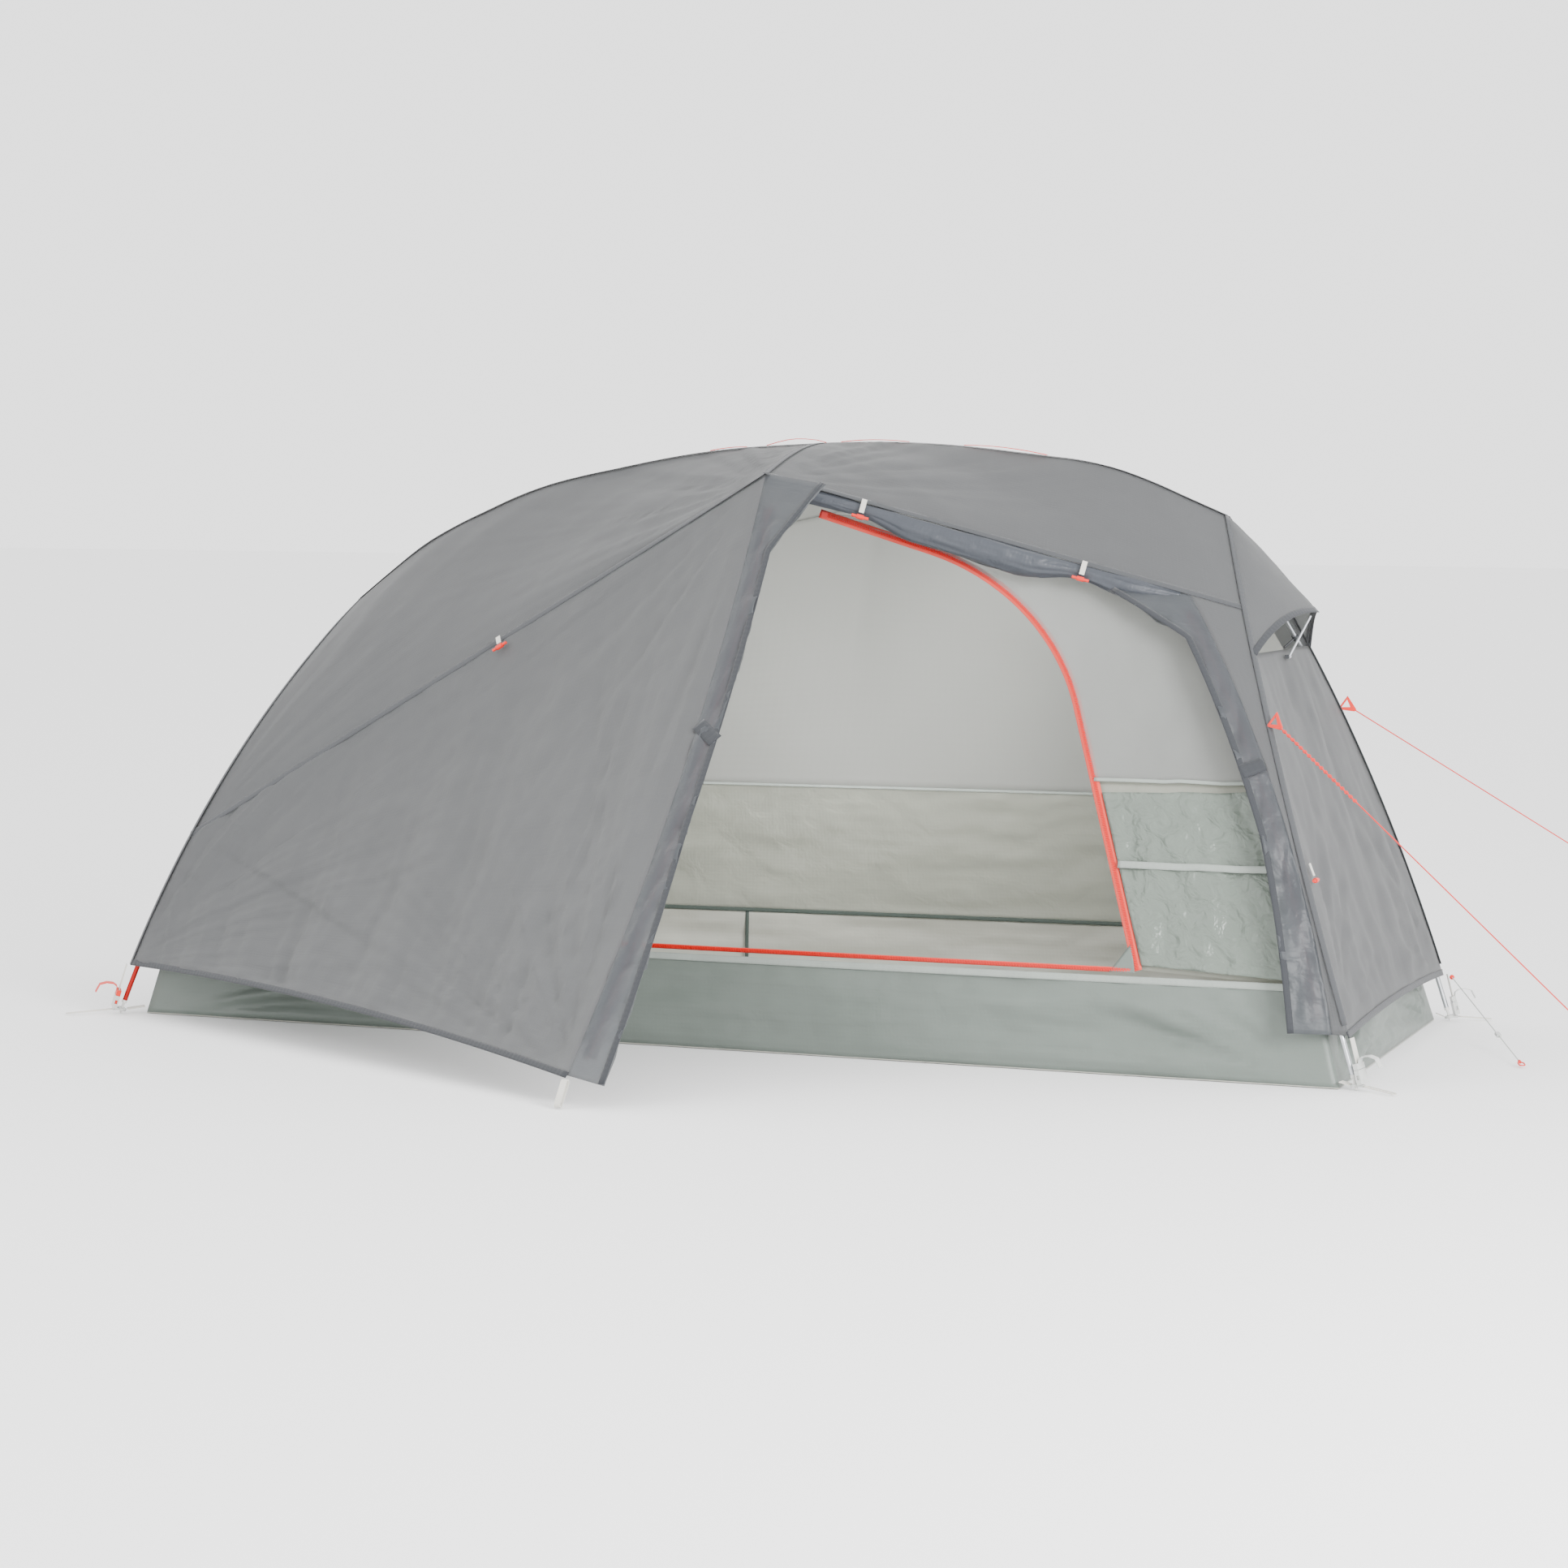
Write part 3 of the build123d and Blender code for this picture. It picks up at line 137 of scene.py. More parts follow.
def through(points: Sequence[Vector]) -> Curve:
    """Smooth curve through points, evenly shared between them."""
    last = len(points) - 1

    def at(t: float) -> Vector:
        """Catmull-Rom point at share t."""
        s = min(max(t, 0.0), 1.0) * last
        i = min(int(s), last - 1)
        f = s - i
        p1, p2 = points[i], points[i + 1]
        p0 = points[i - 1] if i > 0 else p1 * 2 - p2
        p3 = points[i + 2] if i + 2 <= last else p2 * 2 - p1
        return 0.5 * (2 * p1 + (p2 - p0) * f + (2 * p0 - 5 * p1 + 4 * p2 - p3) * f * f
                      + (3 * p1 - p0 - 3 * p2 + p3) * f ** 3)
    return at


def stretch(curve: Curve, start: float, end: float) -> Curve:
    """The part of a curve between two shares of it."""
    return lambda t: curve(start + (end - start) * t)


def mirrored(curve: Curve) -> Curve:
    """The same curve on the other long side."""
    return lambda t: flip(curve(t))


def share_where(curve: Curve, test: Callable[[Vector], bool]) -> float:
    """Share along a curve at which test first turns true."""
    return next((i / 400 for i in range(401) if test(curve(i / 400))), 1.0)


def tangent(curve: Curve, t: float) -> Vector:
    """Direction of a curve at share t."""
    a, b = max(t - 0.004, 0.0), min(t + 0.004, 1.0)
    return (curve(b) - curve(a)).normalized()


def length_of(curve: Curve, steps: int = 40) -> float:
    """Length of a curve, measured over chords."""
    points = [curve(i / steps) for i in range(steps + 1)]
    return sum((b - a).length for a, b in zip(points, points[1:]))


def patch(top: Curve, bottom: Curve, left: Curve, right: Curve) -> Surface:
    """Surface between four borders.

    Args:
        top: border from left to right.
        bottom: border from left to right.
        left: border from the top down.
        right: border from the top down.

    Returns:
        The surface as a function of the share across and the share down.
    """
    a, b, c, d = top(0), top(1), bottom(0), bottom(1)

    def at(u: float, v: float) -> Vector:
        """Point at share u across and v down."""
        corners = lerp(lerp(a, b, u), lerp(c, d, u), v)
        return lerp(top(u), bottom(u), v) + lerp(left(v), right(v), u) - corners
    return at


def surface_normal(surface: Surface, u: float, v: float) -> Vector:
    """Unit normal of a surface, from small steps on it."""
    step = 0.004
    across = surface(min(u + step, 1), v) - surface(max(u - step, 0), v)
    down = surface(u, min(v + step, 1)) - surface(u, max(v - step, 0))
    normal = down.cross(across)
    if normal.length < 1e-9:
        v = 0.02 if v < 0.5 else 0.98
        across = surface(min(u + step, 1), v) - surface(max(u - step, 0), v)
        normal = (surface(u, v + step) - surface(u, v - step)).cross(across)
    return normal.normalized()


# ---- finishes ----
class Shader:
    """A small helper that adds nodes to one material."""

    def __init__(self, name: str) -> None:
        """Start a material of that name with one principled shader."""
        self.material = bpy.data.materials.new(name)
        self.material.use_nodes = True
        self.tree = self.material.node_tree
        self.tree.nodes.clear()
        self.output = self.tree.nodes.new("ShaderNodeOutputMaterial")
        self.surface = self.add("ShaderNodeBsdfPrincipled")
        self.link(self.surface, "BSDF", self.output, "Surface")

    def add(self, kind: str, **settings: object) -> bpy.types.Node:
        """Add a node; settings are its inputs by name, or its own properties in lower case."""
        node = self.tree.nodes.new(kind)
        for key, value in settings.items():
            if key.islower() and hasattr(node, key):
                setattr(node, key, value)
            else:
                node.inputs[key.replace("_", " ")].default_value = value
        return node

    def link(self, a: bpy.types.Node, out: str | int, b: bpy.types.Node, into: str | int) -> None:
        """Link an output of a to an input of b."""
        self.tree.links.new(a.outputs[out], b.inputs[into])

    def place(self, uv: bool, scale: tuple[float, float, float]) -> bpy.types.Node:
        """Coordinates in metres, scaled.

        Args:
            uv: take the piece's own UV map instead of Object coordinates.
            scale: pattern repeats per metre along each axis.

        Returns:
            The mapping node.
        """
        source = self.add("ShaderNodeTexCoord")
        mapping = self.add("ShaderNodeMapping", Scale=scale)
        self.link(source, "UV" if uv else "Object", mapping, "Vector")
        return mapping

    def texture(self, kind: str, mapping: bpy.types.Node, **settings: object) -> bpy.types.Node:
        """Add a texture node fed by a mapping."""
        node = self.add(kind, **settings)
        self.link(mapping, "Vector", node, "Vector")
        return node

    def ramp(self, source: bpy.types.Node, out: str, low: float, high: float) -> bpy.types.Node:
        """Map a 0 to 1 output on to low to high."""
        node = self.add("ShaderNodeMapRange")
        node.inputs["To Min"].default_value = low
        node.inputs["To Max"].default_value = high
        self.link(source, out, node, "Value")
        return node

    def tint(self, colour: Sequence[float], factor: bpy.types.Node, out: str,
             other: Sequence[float]) -> bpy.types.Node:
        """Mix between two colours by a factor."""
        node = self.add("ShaderNodeMix", data_type="RGBA")
        node.inputs["A"].default_value = (*colour, 1)
        node.inputs["B"].default_value = (*other, 1)
        self.link(factor, out, node, "Factor")
        return node

    def thin(self, glow: float, alpha: float, colour: bpy.types.Node, normal: bpy.types.Node) -> None:
        """Let light through thin cloth.

        Args:
            glow: share of the light that passes through the threads.
            alpha: cover of the threads; the rest is open holes.
            colour: node that gives the cloth's colour.
            normal: node that gives its bumps.
        """
        through_threads = self.add("ShaderNodeBsdfTranslucent")
        paler = self.add("ShaderNodeMix", data_type="RGBA", Factor=0.6)
        paler.inputs["B"].default_value = (0.80, 0.81, 0.79, 1)
        self.link(colour, "Result", paler, "A")
        self.link(paler, "Result", through_threads, "Color")
        self.link(normal, "Normal", through_threads, "Normal")
        cloth = self.add("ShaderNodeMixShader", Fac=glow)
        self.link(self.surface, "BSDF", cloth, 1)
        self.link(through_threads, "BSDF", cloth, 2)
        last = cloth
        if alpha < 1:
            holes = self.add("ShaderNodeBsdfTransparent")
            last = self.add("ShaderNodeMixShader", Fac=alpha)
            self.link(holes, "BSDF", last, 1)
            self.link(cloth, "Shader", last, 2)
        self.link(last, "Shader", self.output, "Surface")

    def bump(self, height: bpy.types.Node, out: str, distance: float, strength: float,
             below: bpy.types.Node | None = None) -> bpy.types.Node:
        """Add a bump layer over another one."""
        node = self.add("ShaderNodeBump", Distance=distance, Strength=strength)
        self.link(height, out, node, "Height")
        if below is not None:
            self.link(below, "Normal", node, "Normal")
        return node


def linear(code: str) -> tuple[float, float, float]:
    """Linear colour of a display colour code such as 8890a0."""
    values = [int(code[i:i + 2], 16) / 255 for i in (0, 2, 4)]
    return tuple(v / 12.92 if v <= 0.04045 else ((v + 0.055) / 1.055) ** 2.4 for v in values)


def shade(colour: Sequence[float], factor: float) -> tuple[float, float, float]:
    """A colour made lighter or darker."""
    return tuple(min(c * factor, 1.0) for c in colour)


@dataclass(frozen=True)
class ClothFinish:
    """Woven cloth, coated cloth or netting, with its pattern on the piece's UV map in metres."""

    name: str
    colour: tuple[float, float, float]
    slot: str
    roughness: float = 0.62
    thread: float = 0.0011
    thread_depth: float = 0.00016
    ripstop: float = 0.0
    crinkle: float = 0.0012
    crinkle_size: float = 0.045
    mottle: float = 0.07
    alpha: float = 1.0
    sheen: float = 0.10
    glow: float = 0.35

    def material(self) -> bpy.types.Material:
        """Build the cloth's material: threads, ripstop grid, crinkles, uneven dye and thinness."""
        s = Shader(self.name)
        threads = s.place(True, (1, 1, 1))
        repeat = 1 / self.thread
        warp = s.texture("ShaderNodeTexWave", threads, bands_direction="X", Scale=repeat / 20,
                         Distortion=0.0)
        weft = s.texture("ShaderNodeTexWave", threads, bands_direction="Y", Scale=repeat / 20,
                         Distortion=0.0)
        weave = s.add("ShaderNodeMath", operation="ADD")
        s.link(warp, "Fac", weave, 0)
        s.link(weft, "Fac", weave, 1)
        crease = s.texture("ShaderNodeTexNoise", threads, Scale=1 / self.crinkle_size, Detail=3.0,
                           Roughness=0.55, Distortion=0.6)
        dye = s.texture("ShaderNodeTexNoise", threads, Scale=7.0, Detail=4.0, Roughness=0.6)
        colour = s.tint(shade(self.colour, 1 - self.mottle), dye, "Fac",
                        shade(self.colour, 1 + self.mottle))
        under = s.bump(crease, "Fac", self.crinkle, 0.55)
        last = s.bump(weave, "Value", self.thread_depth, 0.35, under)
        if self.ripstop:
            grid = s.texture("ShaderNodeTexBrick", threads, offset=0.0, squash=1.0,
                             Color1=(0, 0, 0, 1), Color2=(0, 0, 0, 1), Mortar=(1, 1, 1, 1),
                             Scale=1.0)
            grid.inputs["Brick Width"].default_value = self.ripstop
            grid.inputs["Row Height"].default_value = self.ripstop
            grid.inputs["Mortar Size"].default_value = self.ripstop * 0.07
            grid.inputs["Mortar Smooth"].default_value = 0.4
            lines = s.add("ShaderNodeMix", data_type="RGBA")
            lines.inputs["B"].default_value = (*shade(self.colour, 1.16), 1)
            cover = s.ramp(grid, "Color", 0.0, 0.42)
            s.link(cover, "Result", lines, "Factor")
            s.link(colour, "Result", lines, "A")
            colour = lines
            last = s.bump(grid, "Color", self.thread_depth * 1.4, 0.4, last)
        rough = s.ramp(crease, "Fac", self.roughness - 0.08, self.roughness + 0.08)
        s.link(colour, "Result", s.surface, "Base Color")
        s.link(rough, "Result", s.surface, "Roughness")
        s.link(last, "Normal", s.surface, "Normal")
        s.surface.inputs["Sheen Weight"].default_value = self.sheen
        s.thin(self.glow, self.alpha, colour, last)
        return s.material


@dataclass(frozen=True)
class WebbingFinish:
    """Ribbed webbing or binding tape, with its ribs across the piece's UV map."""

    name: str
    colour: tuple[float, float, float]
    slot: str
    rib: float = 0.0016
    stitch: float = 0.0
    roughness: float = 0.75
    uv: bool = True

    def material(self) -> bpy.types.Material:
        """Build the tape's material: ribs, rows of stitches and worn edges."""
        s = Shader(self.name)
        flat = s.place(self.uv, (1, 1, 1))
        ribs = s.texture("ShaderNodeTexWave", flat, bands_direction="X", Scale=1 / self.rib / 20,
                         Distortion=0.4)
        fuzz = s.texture("ShaderNodeTexNoise", flat, Scale=260.0, Detail=3.0)
        wear = s.texture("ShaderNodeTexNoise", flat, Scale=18.0, Detail=4.0)
        colour = s.tint(shade(self.colour, 0.84), wear, "Fac", shade(self.colour, 1.14))
        under = s.bump(fuzz, "Fac", 0.0002, 0.3)
        last = s.bump(ribs, "Fac", 0.0003, 0.55, under)
        if self.stitch:
            seam = s.texture("ShaderNodeTexBrick", flat, offset=0.5, squash=1.0, Scale=1.0,
                             Color1=(1, 1, 1, 1), Color2=(1, 1, 1, 1), Mortar=(0, 0, 0, 1))
            seam.inputs["Brick Width"].default_value = self.stitch
            seam.inputs["Row Height"].default_value = self.stitch * 0.9
            seam.inputs["Mortar Size"].default_value = self.stitch * 0.16
            last = s.bump(seam, "Color", 0.0004, 0.5, last)
        rough = s.ramp(wear, "Fac", self.roughness - 0.1, self.roughness + 0.1)
        s.link(colour, "Result", s.surface, "Base Color")
        s.link(rough, "Result", s.surface, "Roughness")
        s.link(last, "Normal", s.surface, "Normal")
        s.surface.inputs["Sheen Weight"].default_value = 0.15
        return s.material


@dataclass(frozen=True)
class PlasticFinish:
    """Moulded plastic with a fine texture and scuffed patches."""

    name: str
    colour: tuple[float, float, float]
    slot: str
    roughness: float = 0.42
    grain: float = 900.0
    alpha: float = 1.0

    def material(self) -> bpy.types.Material:
        """Build the plastic's material: moulded grain, scuffs and colour drift."""
        s = Shader(self.name)
        flat = s.place(False, (1, 1, 1))
        grain = s.texture("ShaderNodeTexNoise", flat, Scale=self.grain, Detail=2.0)
        scuff = s.texture("ShaderNodeTexNoise", flat, Scale=70.0, Detail=5.0, Roughness=0.7)
        colour = s.tint(shade(self.colour, 0.86), scuff, "Fac", shade(self.colour, 1.12))
        rough = s.ramp(scuff, "Fac", self.roughness - 0.14, self.roughness + 0.2)
        last = s.bump(grain, "Fac", 0.00012, 0.3)
        s.link(colour, "Result", s.surface, "Base Color")
        s.link(rough, "Result", s.surface, "Roughness")
        s.link(last, "Normal", s.surface, "Normal")
        s.surface.inputs["Alpha"].default_value = self.alpha
        return s.material


@dataclass(frozen=True)
class MetalFinish:
    """Drawn and anodised tube, with fine lengthwise marks and handling wear."""

    name: str
    colour: tuple[float, float, float]
    slot: str
    roughness: float = 0.32
    metallic: float = 0.9

    def material(self) -> bpy.types.Material:
        """Build the metal's material: drawing marks, smudges and bright wear."""
        s = Shader(self.name)
        flat = s.place(False, (1, 1, 1))
        marks = s.texture("ShaderNodeTexNoise", flat, Scale=1400.0, Detail=2.0)
        smudge = s.texture("ShaderNodeTexNoise", flat, Scale=26.0, Detail=5.0, Roughness=0.65)
        colour = s.tint(shade(self.colour, 0.82), smudge, "Fac", shade(self.colour, 1.12))
        rough = s.ramp(smudge, "Fac", self.roughness - 0.1, self.roughness + 0.16)
        last = s.bump(marks, "Fac", 0.00006, 0.25)
        s.link(colour, "Result", s.surface, "Base Color")
        s.link(rough, "Result", s.surface, "Roughness")
        s.link(last, "Normal", s.surface, "Normal")
        s.surface.inputs["Metallic"].default_value = self.metallic
        return s.material


Finish = ClothFinish | WebbingFinish | PlasticFinish | MetalFinish


class Wardrobe:
    """Every finish of the tent, each built once."""

    fly = ClothFinish("fly_cloth", linear("595a5c"), "fly_cloth", ripstop=0.006, roughness=0.5,
                      sheen=0.12, glow=0.40)
    fly_inside = ClothFinish("fly_cloth_inside", linear("6a6c6f"), "fly_cloth", roughness=0.45, glow=0.55)
    flap = ClothFinish("flap_cloth", linear("474b50"), "flap_cloth", crinkle=0.006,
                       crinkle_size=0.03, roughness=0.42, mottle=0.14, alpha=0.76, glow=0.3)
    # Painted shade: the rolled door is the fly's own cloth, coloured darker than the fly to stand for the shade in
    # its turns and under the roof's hem.
    roll = ClothFinish("rolled_cloth", linear("363a41"), "rolled_cloth", crinkle=0.004,
                       crinkle_size=0.03, roughness=0.42, mottle=0.18, glow=0.08)
    mesh = ClothFinish("inner_mesh", linear("b4b5b0"), "inner_mesh", thread=0.0022,
                       thread_depth=0.0003, crinkle=0.0005, roughness=0.85, alpha=0.72, mottle=0.03, glow=0.5)
    near_mesh = ClothFinish("door_mesh", linear("a6a8a6"), "inner_mesh", thread=0.0018,
                            thread_depth=0.0002, crinkle=0.0006, roughness=0.85, alpha=0.42,
                            mottle=0.03, glow=0.4)
    taupe = ClothFinish("low_wall_cloth", linear("b9bbaf"), "inner_cloth", crinkle=0.005,
                        crinkle_size=0.05, roughness=0.55, glow=0.5)
    tub = ClothFinish("tub_cloth", linear("6c756f"), "tub_cloth", crinkle=0.003,
                      crinkle_size=0.05, roughness=0.45, glow=0.2)
    tub_inside = ClothFinish("tub_cloth_inside", linear("b2b2a8"), "tub_cloth", crinkle=0.003,
                             crinkle_size=0.05, roughness=0.5, glow=0.2)
    pocket = ClothFinish("pocket_cloth", linear("808a81"), "inner_cloth", crinkle=0.022,
                         crinkle_size=0.035, roughness=0.26, mottle=0.12, alpha=0.92, glow=0.35)
    dark_tape = WebbingFinish("dark_tape", linear("22252a"), "flap_cloth", stitch=0.0032)
    seam_tape = WebbingFinish("seam_tape", linear("393b3e"), "fly_cloth", stitch=0.0032)
    green_tape = WebbingFinish("green_tape", linear("39443e"), "tub_cloth", stitch=0.0032)
    pale_tape = WebbingFinish("pale_tape", linear("8d948e"), "inner_cloth", stitch=0.0032)
    zip_tape = WebbingFinish("zip_tape", linear("d04336"), "zip_coil", rib=0.0011)
    fly_zip_tape = WebbingFinish("fly_zip_tape", linear("6a2a2c"), "zip_coil", rib=0.0011)
    red_webbing = WebbingFinish("red_webbing", linear("d8200f"), "red_webbing", uv=False)
    pale_webbing = WebbingFinish("pale_webbing", linear("c4c2ba"), "pale_webbing", uv=False)
    red_strap = WebbingFinish("red_strap", linear("cf2409"), "red_webbing", uv=False)
    coil = PlasticFinish("zip_coil", linear("cc1307"), "zip_coil", roughness=0.35)
    slider = PlasticFinish("zip_slider", linear("c81407"), "zip_slider", roughness=0.3)
    toggle = PlasticFinish("toggle_red", linear("d01d06"), "toggle_plastic", roughness=0.35)
    buckle = PlasticFinish("buckle_pale", linear("b9bbb8"), "buckle_plastic", roughness=0.3)
    dark = PlasticFinish("moulded_dark", linear("3b3d40"), "hub_plastic", roughness=0.5)
    tip = PlasticFinish("tip_pale", linear("d8d8d4"), "tip_plastic", roughness=0.4)
    silver = MetalFinish("silver_tube", linear("c9ccd0"), "silver_tube")
    red_tube = MetalFinish("red_tube", linear("a80f06"), "red_tube", metallic=0.55, roughness=0.34)
    red_cord = WebbingFinish("red_cord", linear("d8180b"), "red_cord", rib=0.0012, uv=False)
    grey_cord = WebbingFinish("grey_cord", linear("b4b8b2"), "grey_cord", rib=0.0012, uv=False)

    def __init__(self) -> None:
        """Start with no material built."""
        self.built: dict[str, bpy.types.Material] = {}

    def material(self, finish: Finish) -> bpy.types.Material:
        """The material of a finish, built the first time it is asked for."""
        if finish.name not in self.built:
            self.built[finish.name] = finish.material()
        return self.built[finish.name]


# ---- making pieces ----
def new_piece(name: str, bm: bmesh.types.BMesh, smooth: bool = True) -> bpy.types.Object:
    """Turn a bmesh into an object at the origin.

    Args:
        name: the piece's name.
        bm: the mesh, which is freed.
        smooth: shade its faces smooth.

    Returns:
        The new object.
    """
    mesh = bpy.data.meshes.new(name)
    bm.to_mesh(mesh)
    bm.free()
    if smooth:
        mesh.polygons.foreach_set("use_smooth", [True] * len(mesh.polygons))
    piece = bpy.data.objects.new(name, mesh)
    bpy.context.scene.collection.objects.link(piece)
    return piece


class Workshop:
    """Dresses pieces, sets them on their bodies and reports them."""

    def __init__(self, wardrobe: Wardrobe) -> None:
        """Keep the wardrobe that finishes come from."""
        self.wardrobe = wardrobe

    def dress(self, piece: bpy.types.Object, *finishes: Finish, body: str = ROOT,
              replaces: Sequence[str] = ()) -> bpy.types.Object:
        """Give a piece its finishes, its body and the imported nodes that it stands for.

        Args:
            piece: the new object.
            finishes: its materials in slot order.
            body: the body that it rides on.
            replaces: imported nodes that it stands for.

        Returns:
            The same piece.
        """
        for finish in finishes:
            piece.data.materials.append(self.wardrobe.material(finish))
        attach(piece, body)
        if replaces:
            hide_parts(*replaces)
        LOG.info("piece %s", piece.name)
        return piece

    def repaint(self, finish: Finish, *nodes: str) -> None:
        """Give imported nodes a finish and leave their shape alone."""
        for node in nodes:
            materials = bpy.data.objects[node].data.materials
            materials.clear()
            materials.append(self.wardrobe.material(finish))
            LOG.info("node %s", node)


# ---- folds in cloth ----
class Fold:
    """Something that lifts cloth off its even surface."""

    def height(self, u: float, v: float, p: Vector) -> float:
        """Lift in metres at share u across and v down, where the even surface is at p."""
        raise NotImplementedError


@dataclass(frozen=True)
class Belly(Fold):
    """A panel's middle drawn in or out."""

    depth: float

    def height(self, u: float, v: float, p: Vector) -> float:
        """Lift that is greatest in the middle."""
        return self.depth * 16 * u * (1 - u) * v * (1 - v)


@dataclass(frozen=True)
class Ripples(Fold):
    """Long soft folds that run along one direction."""

    along: Vector
    across: Vector
    pitch: float
    depth: float
    stretch: float = 7.0
    fade_u: tuple[float, float] = (0.0, 0.0)
    fade_v: tuple[float, float] = (0.0, 0.0)
    seed: float = 0.0

    def height(self, u: float, v: float, p: Vector) -> float:
        """Lift from noise drawn out along the folds."""
        spot = Vector((p.dot(self.across) / self.pitch, p.dot(self.along) / self.pitch / self.stretch,
                       self.seed))
        level = 1.0 - self.fade_u[0] * (1 - u) - self.fade_u[1] * u
        level *= 1.0 - self.fade_v[0] * (1 - v) - self.fade_v[1] * v
        wave = noise.noise(spot)
        fine = noise.noise(Vector((spot.x * 2.2, spot.y * 1.3, self.seed + 4)))
        return self.depth * (0.75 * wave + 0.45 * (0.25 - abs(fine))) * level


@dataclass(frozen=True)
class Pull(Fold):
    """Creases that spread from a point where the cloth is pulled."""

    point: Vector
    toward: Vector
    reach: float
    depth: float
    creases: float = 9.0
    seed: float = 0.0
    spread: float = 0.30

    def height(self, u: float, v: float, p: Vector) -> float:
        """Lift that grows as the creases part, then fades with distance from the pulled point."""
        away = p - self.point
        distance = away.length
        if distance < 1e-6:
            return 0.0
        side = away - self.toward * away.dot(self.toward)
        sign = 1 if side.dot(UP) + 0.3 * side.x > 0 else -1
        turn = sign * math.atan2(side.length, away.dot(self.toward))
        wave = noise.noise(Vector((turn * self.creases, distance * 0.9, self.seed)))
        fine = noise.noise(Vector((turn * self.creases * 2.3, distance * 1.4, self.seed + 5)))
        wave = 0.7 * wave + 0.5 * (0.25 - abs(fine))
        return self.depth * wave * math.exp(-distance / self.reach) * min(distance / self.spread, 1)


@dataclass(frozen=True)
class Crumple(Fold):
    """Small creases all over thin cloth."""

    size: float
    depth: float
    seed: float = 0.0

    def height(self, u: float, v: float, p: Vector) -> float:
        """Lift from layered noise."""
        spot = p / self.size + Vector((self.seed, 0, 0))
        return self.depth * (noise.noise(spot) + 0.5 * noise.noise(spot * 2.1))


@dataclass
class Panel:
    """One cut of cloth between four borders.

    The borders stay where they are, and folds lift what is between them.
    """

    name: str
    surface: Surface
    rows: int
    cols: int
    folds: Sequence[Fold] = ()
    thickness: float = 0.0006
    edge: float = 0.05
    open_edges: Sequence[str] = ()
    inside: Vector = field(default_factory=lambda: Vector((0, 0, 0.3)))
    second: bool = False

    def mask(self, u: float, v: float) -> float:
        """How far the folds may act at a place: nothing at a sewn border, all at an open one."""
        level = 1.0
        for name, distance in (("left", u), ("right", 1 - u), ("top", v), ("bottom", 1 - v)):
            if name not in self.open_edges:
                level *= min(distance / self.edge, 1.0)
        return level

    def build(self) -> bpy.types.Object:
        """Build the panel as a grid laid on its surface, with a UV map in metres."""
        middle = self.surface(0.5, 0.5)
        turn = 1 if surface_normal(self.surface, 0.5, 0.5).dot(middle - self.inside) > 0 else -1
        width = length_of(lambda t: self.surface(t, 0.5))
        height = length_of(lambda t: self.surface(0.5, t))
        bm = bmesh.new()
        bmesh.ops.create_grid(bm, x_segments=self.cols, y_segments=self.rows, size=0.5)
        layer = bm.loops.layers.uv.new("cloth")
        for face in bm.faces:
            for loop in face.loops:
                loop[layer].uv = ((loop.vert.co.x + 0.5) * width, (0.5 - loop.vert.co.y) * height)
        for vert in bm.verts:
            u, v = vert.co.x + 0.5, 0.5 - vert.co.y
            p = self.surface(u, v)
            lift = sum(f.height(u, v, p) for f in self.folds) * self.mask(u, v)
            vert.co = p + surface_normal(self.surface, u, v) * (lift * turn) if lift else p
        bmesh.ops.remove_doubles(bm, verts=bm.verts, dist=0.00002)
        bm.normal_update()
        face = min(bm.faces, key=lambda f: (f.calc_center_median() - middle).length)
        if face.normal.dot(middle - self.inside) < 0:
            bmesh.ops.reverse_faces(bm, faces=bm.faces)
        piece = new_piece(self.name, bm)
        wall = piece.modifiers.new("thickness", "SOLIDIFY")
        wall.thickness = self.thickness
        wall.offset = -1
        wall.material_offset = 1 if self.second else 0
        return piece


@dataclass
class Ribbon:
    """A flat tape sewn along a curve."""

    name: str
    path: Curve
    across: Callable[[float], Vector]
    width: float
    lift: Callable[[float], Vector]
    thickness: float = 0.0009
    steps: int = 60
    crown: float = 0.0

    def build(self) -> bpy.types.Object:
        """Build the tape as a narrow grid that follows the curve."""
        length = length_of(self.path)
        bm = bmesh.new()
        bmesh.ops.create_grid(bm, x_segments=self.steps, y_segments=3, size=0.5)
        layer = bm.loops.layers.uv.new("cloth")
        for face in bm.faces:
            for loop in face.loops:
                loop[layer].uv = ((loop.vert.co.x + 0.5) * length, loop.vert.co.y * self.width)
        for vert in bm.verts:
            t, s = vert.co.x + 0.5, vert.co.y
            off = self.lift(t)
            rise = off.normalized() * self.crown * (1 - 4 * s * s) if self.crown else Vector()
            vert.co = self.path(t) + self.across(t) * (s * self.width) + off + rise
        bm.normal_update()
        face = min(bm.faces, key=lambda f: (f.calc_center_median() - self.path(0.5)).length)
        if face.normal.dot(self.lift(0.5)) < 0:
            bmesh.ops.reverse_faces(bm, faces=bm.faces)
        piece = new_piece(self.name, bm)
        wall = piece.modifiers.new("thickness", "SOLIDIFY")
        wall.thickness = self.thickness
        wall.offset = 0
        return piece


def seam_on(name: str, path: Curve, width: float, out: Callable[[float], Vector],
            lift: float = 0.0008, steps: int = 60, shift: float = 0.0) -> bpy.types.Object:
    """A tape along a curve that lies flat on cloth.

    Args:
        name: the piece's name.
        path: the curve.
        width: the tape's width.
        out: outward direction of the cloth at a share.
        lift: height over the cloth.
        steps: how many faces long it is.
        shift: how far to one side of the curve it lies.

    Returns:
        The tape.
    """
    def across(t: float) -> Vector:
        """Direction over the tape at a share."""
        return tangent(path, t).cross(out(t)).normalized()

    moved = (lambda t: path(t) + across(t) * shift) if shift else path
    return Ribbon(name, moved, across, width, lambda t: out(t).normalized() * lift,
                  steps=steps).build()


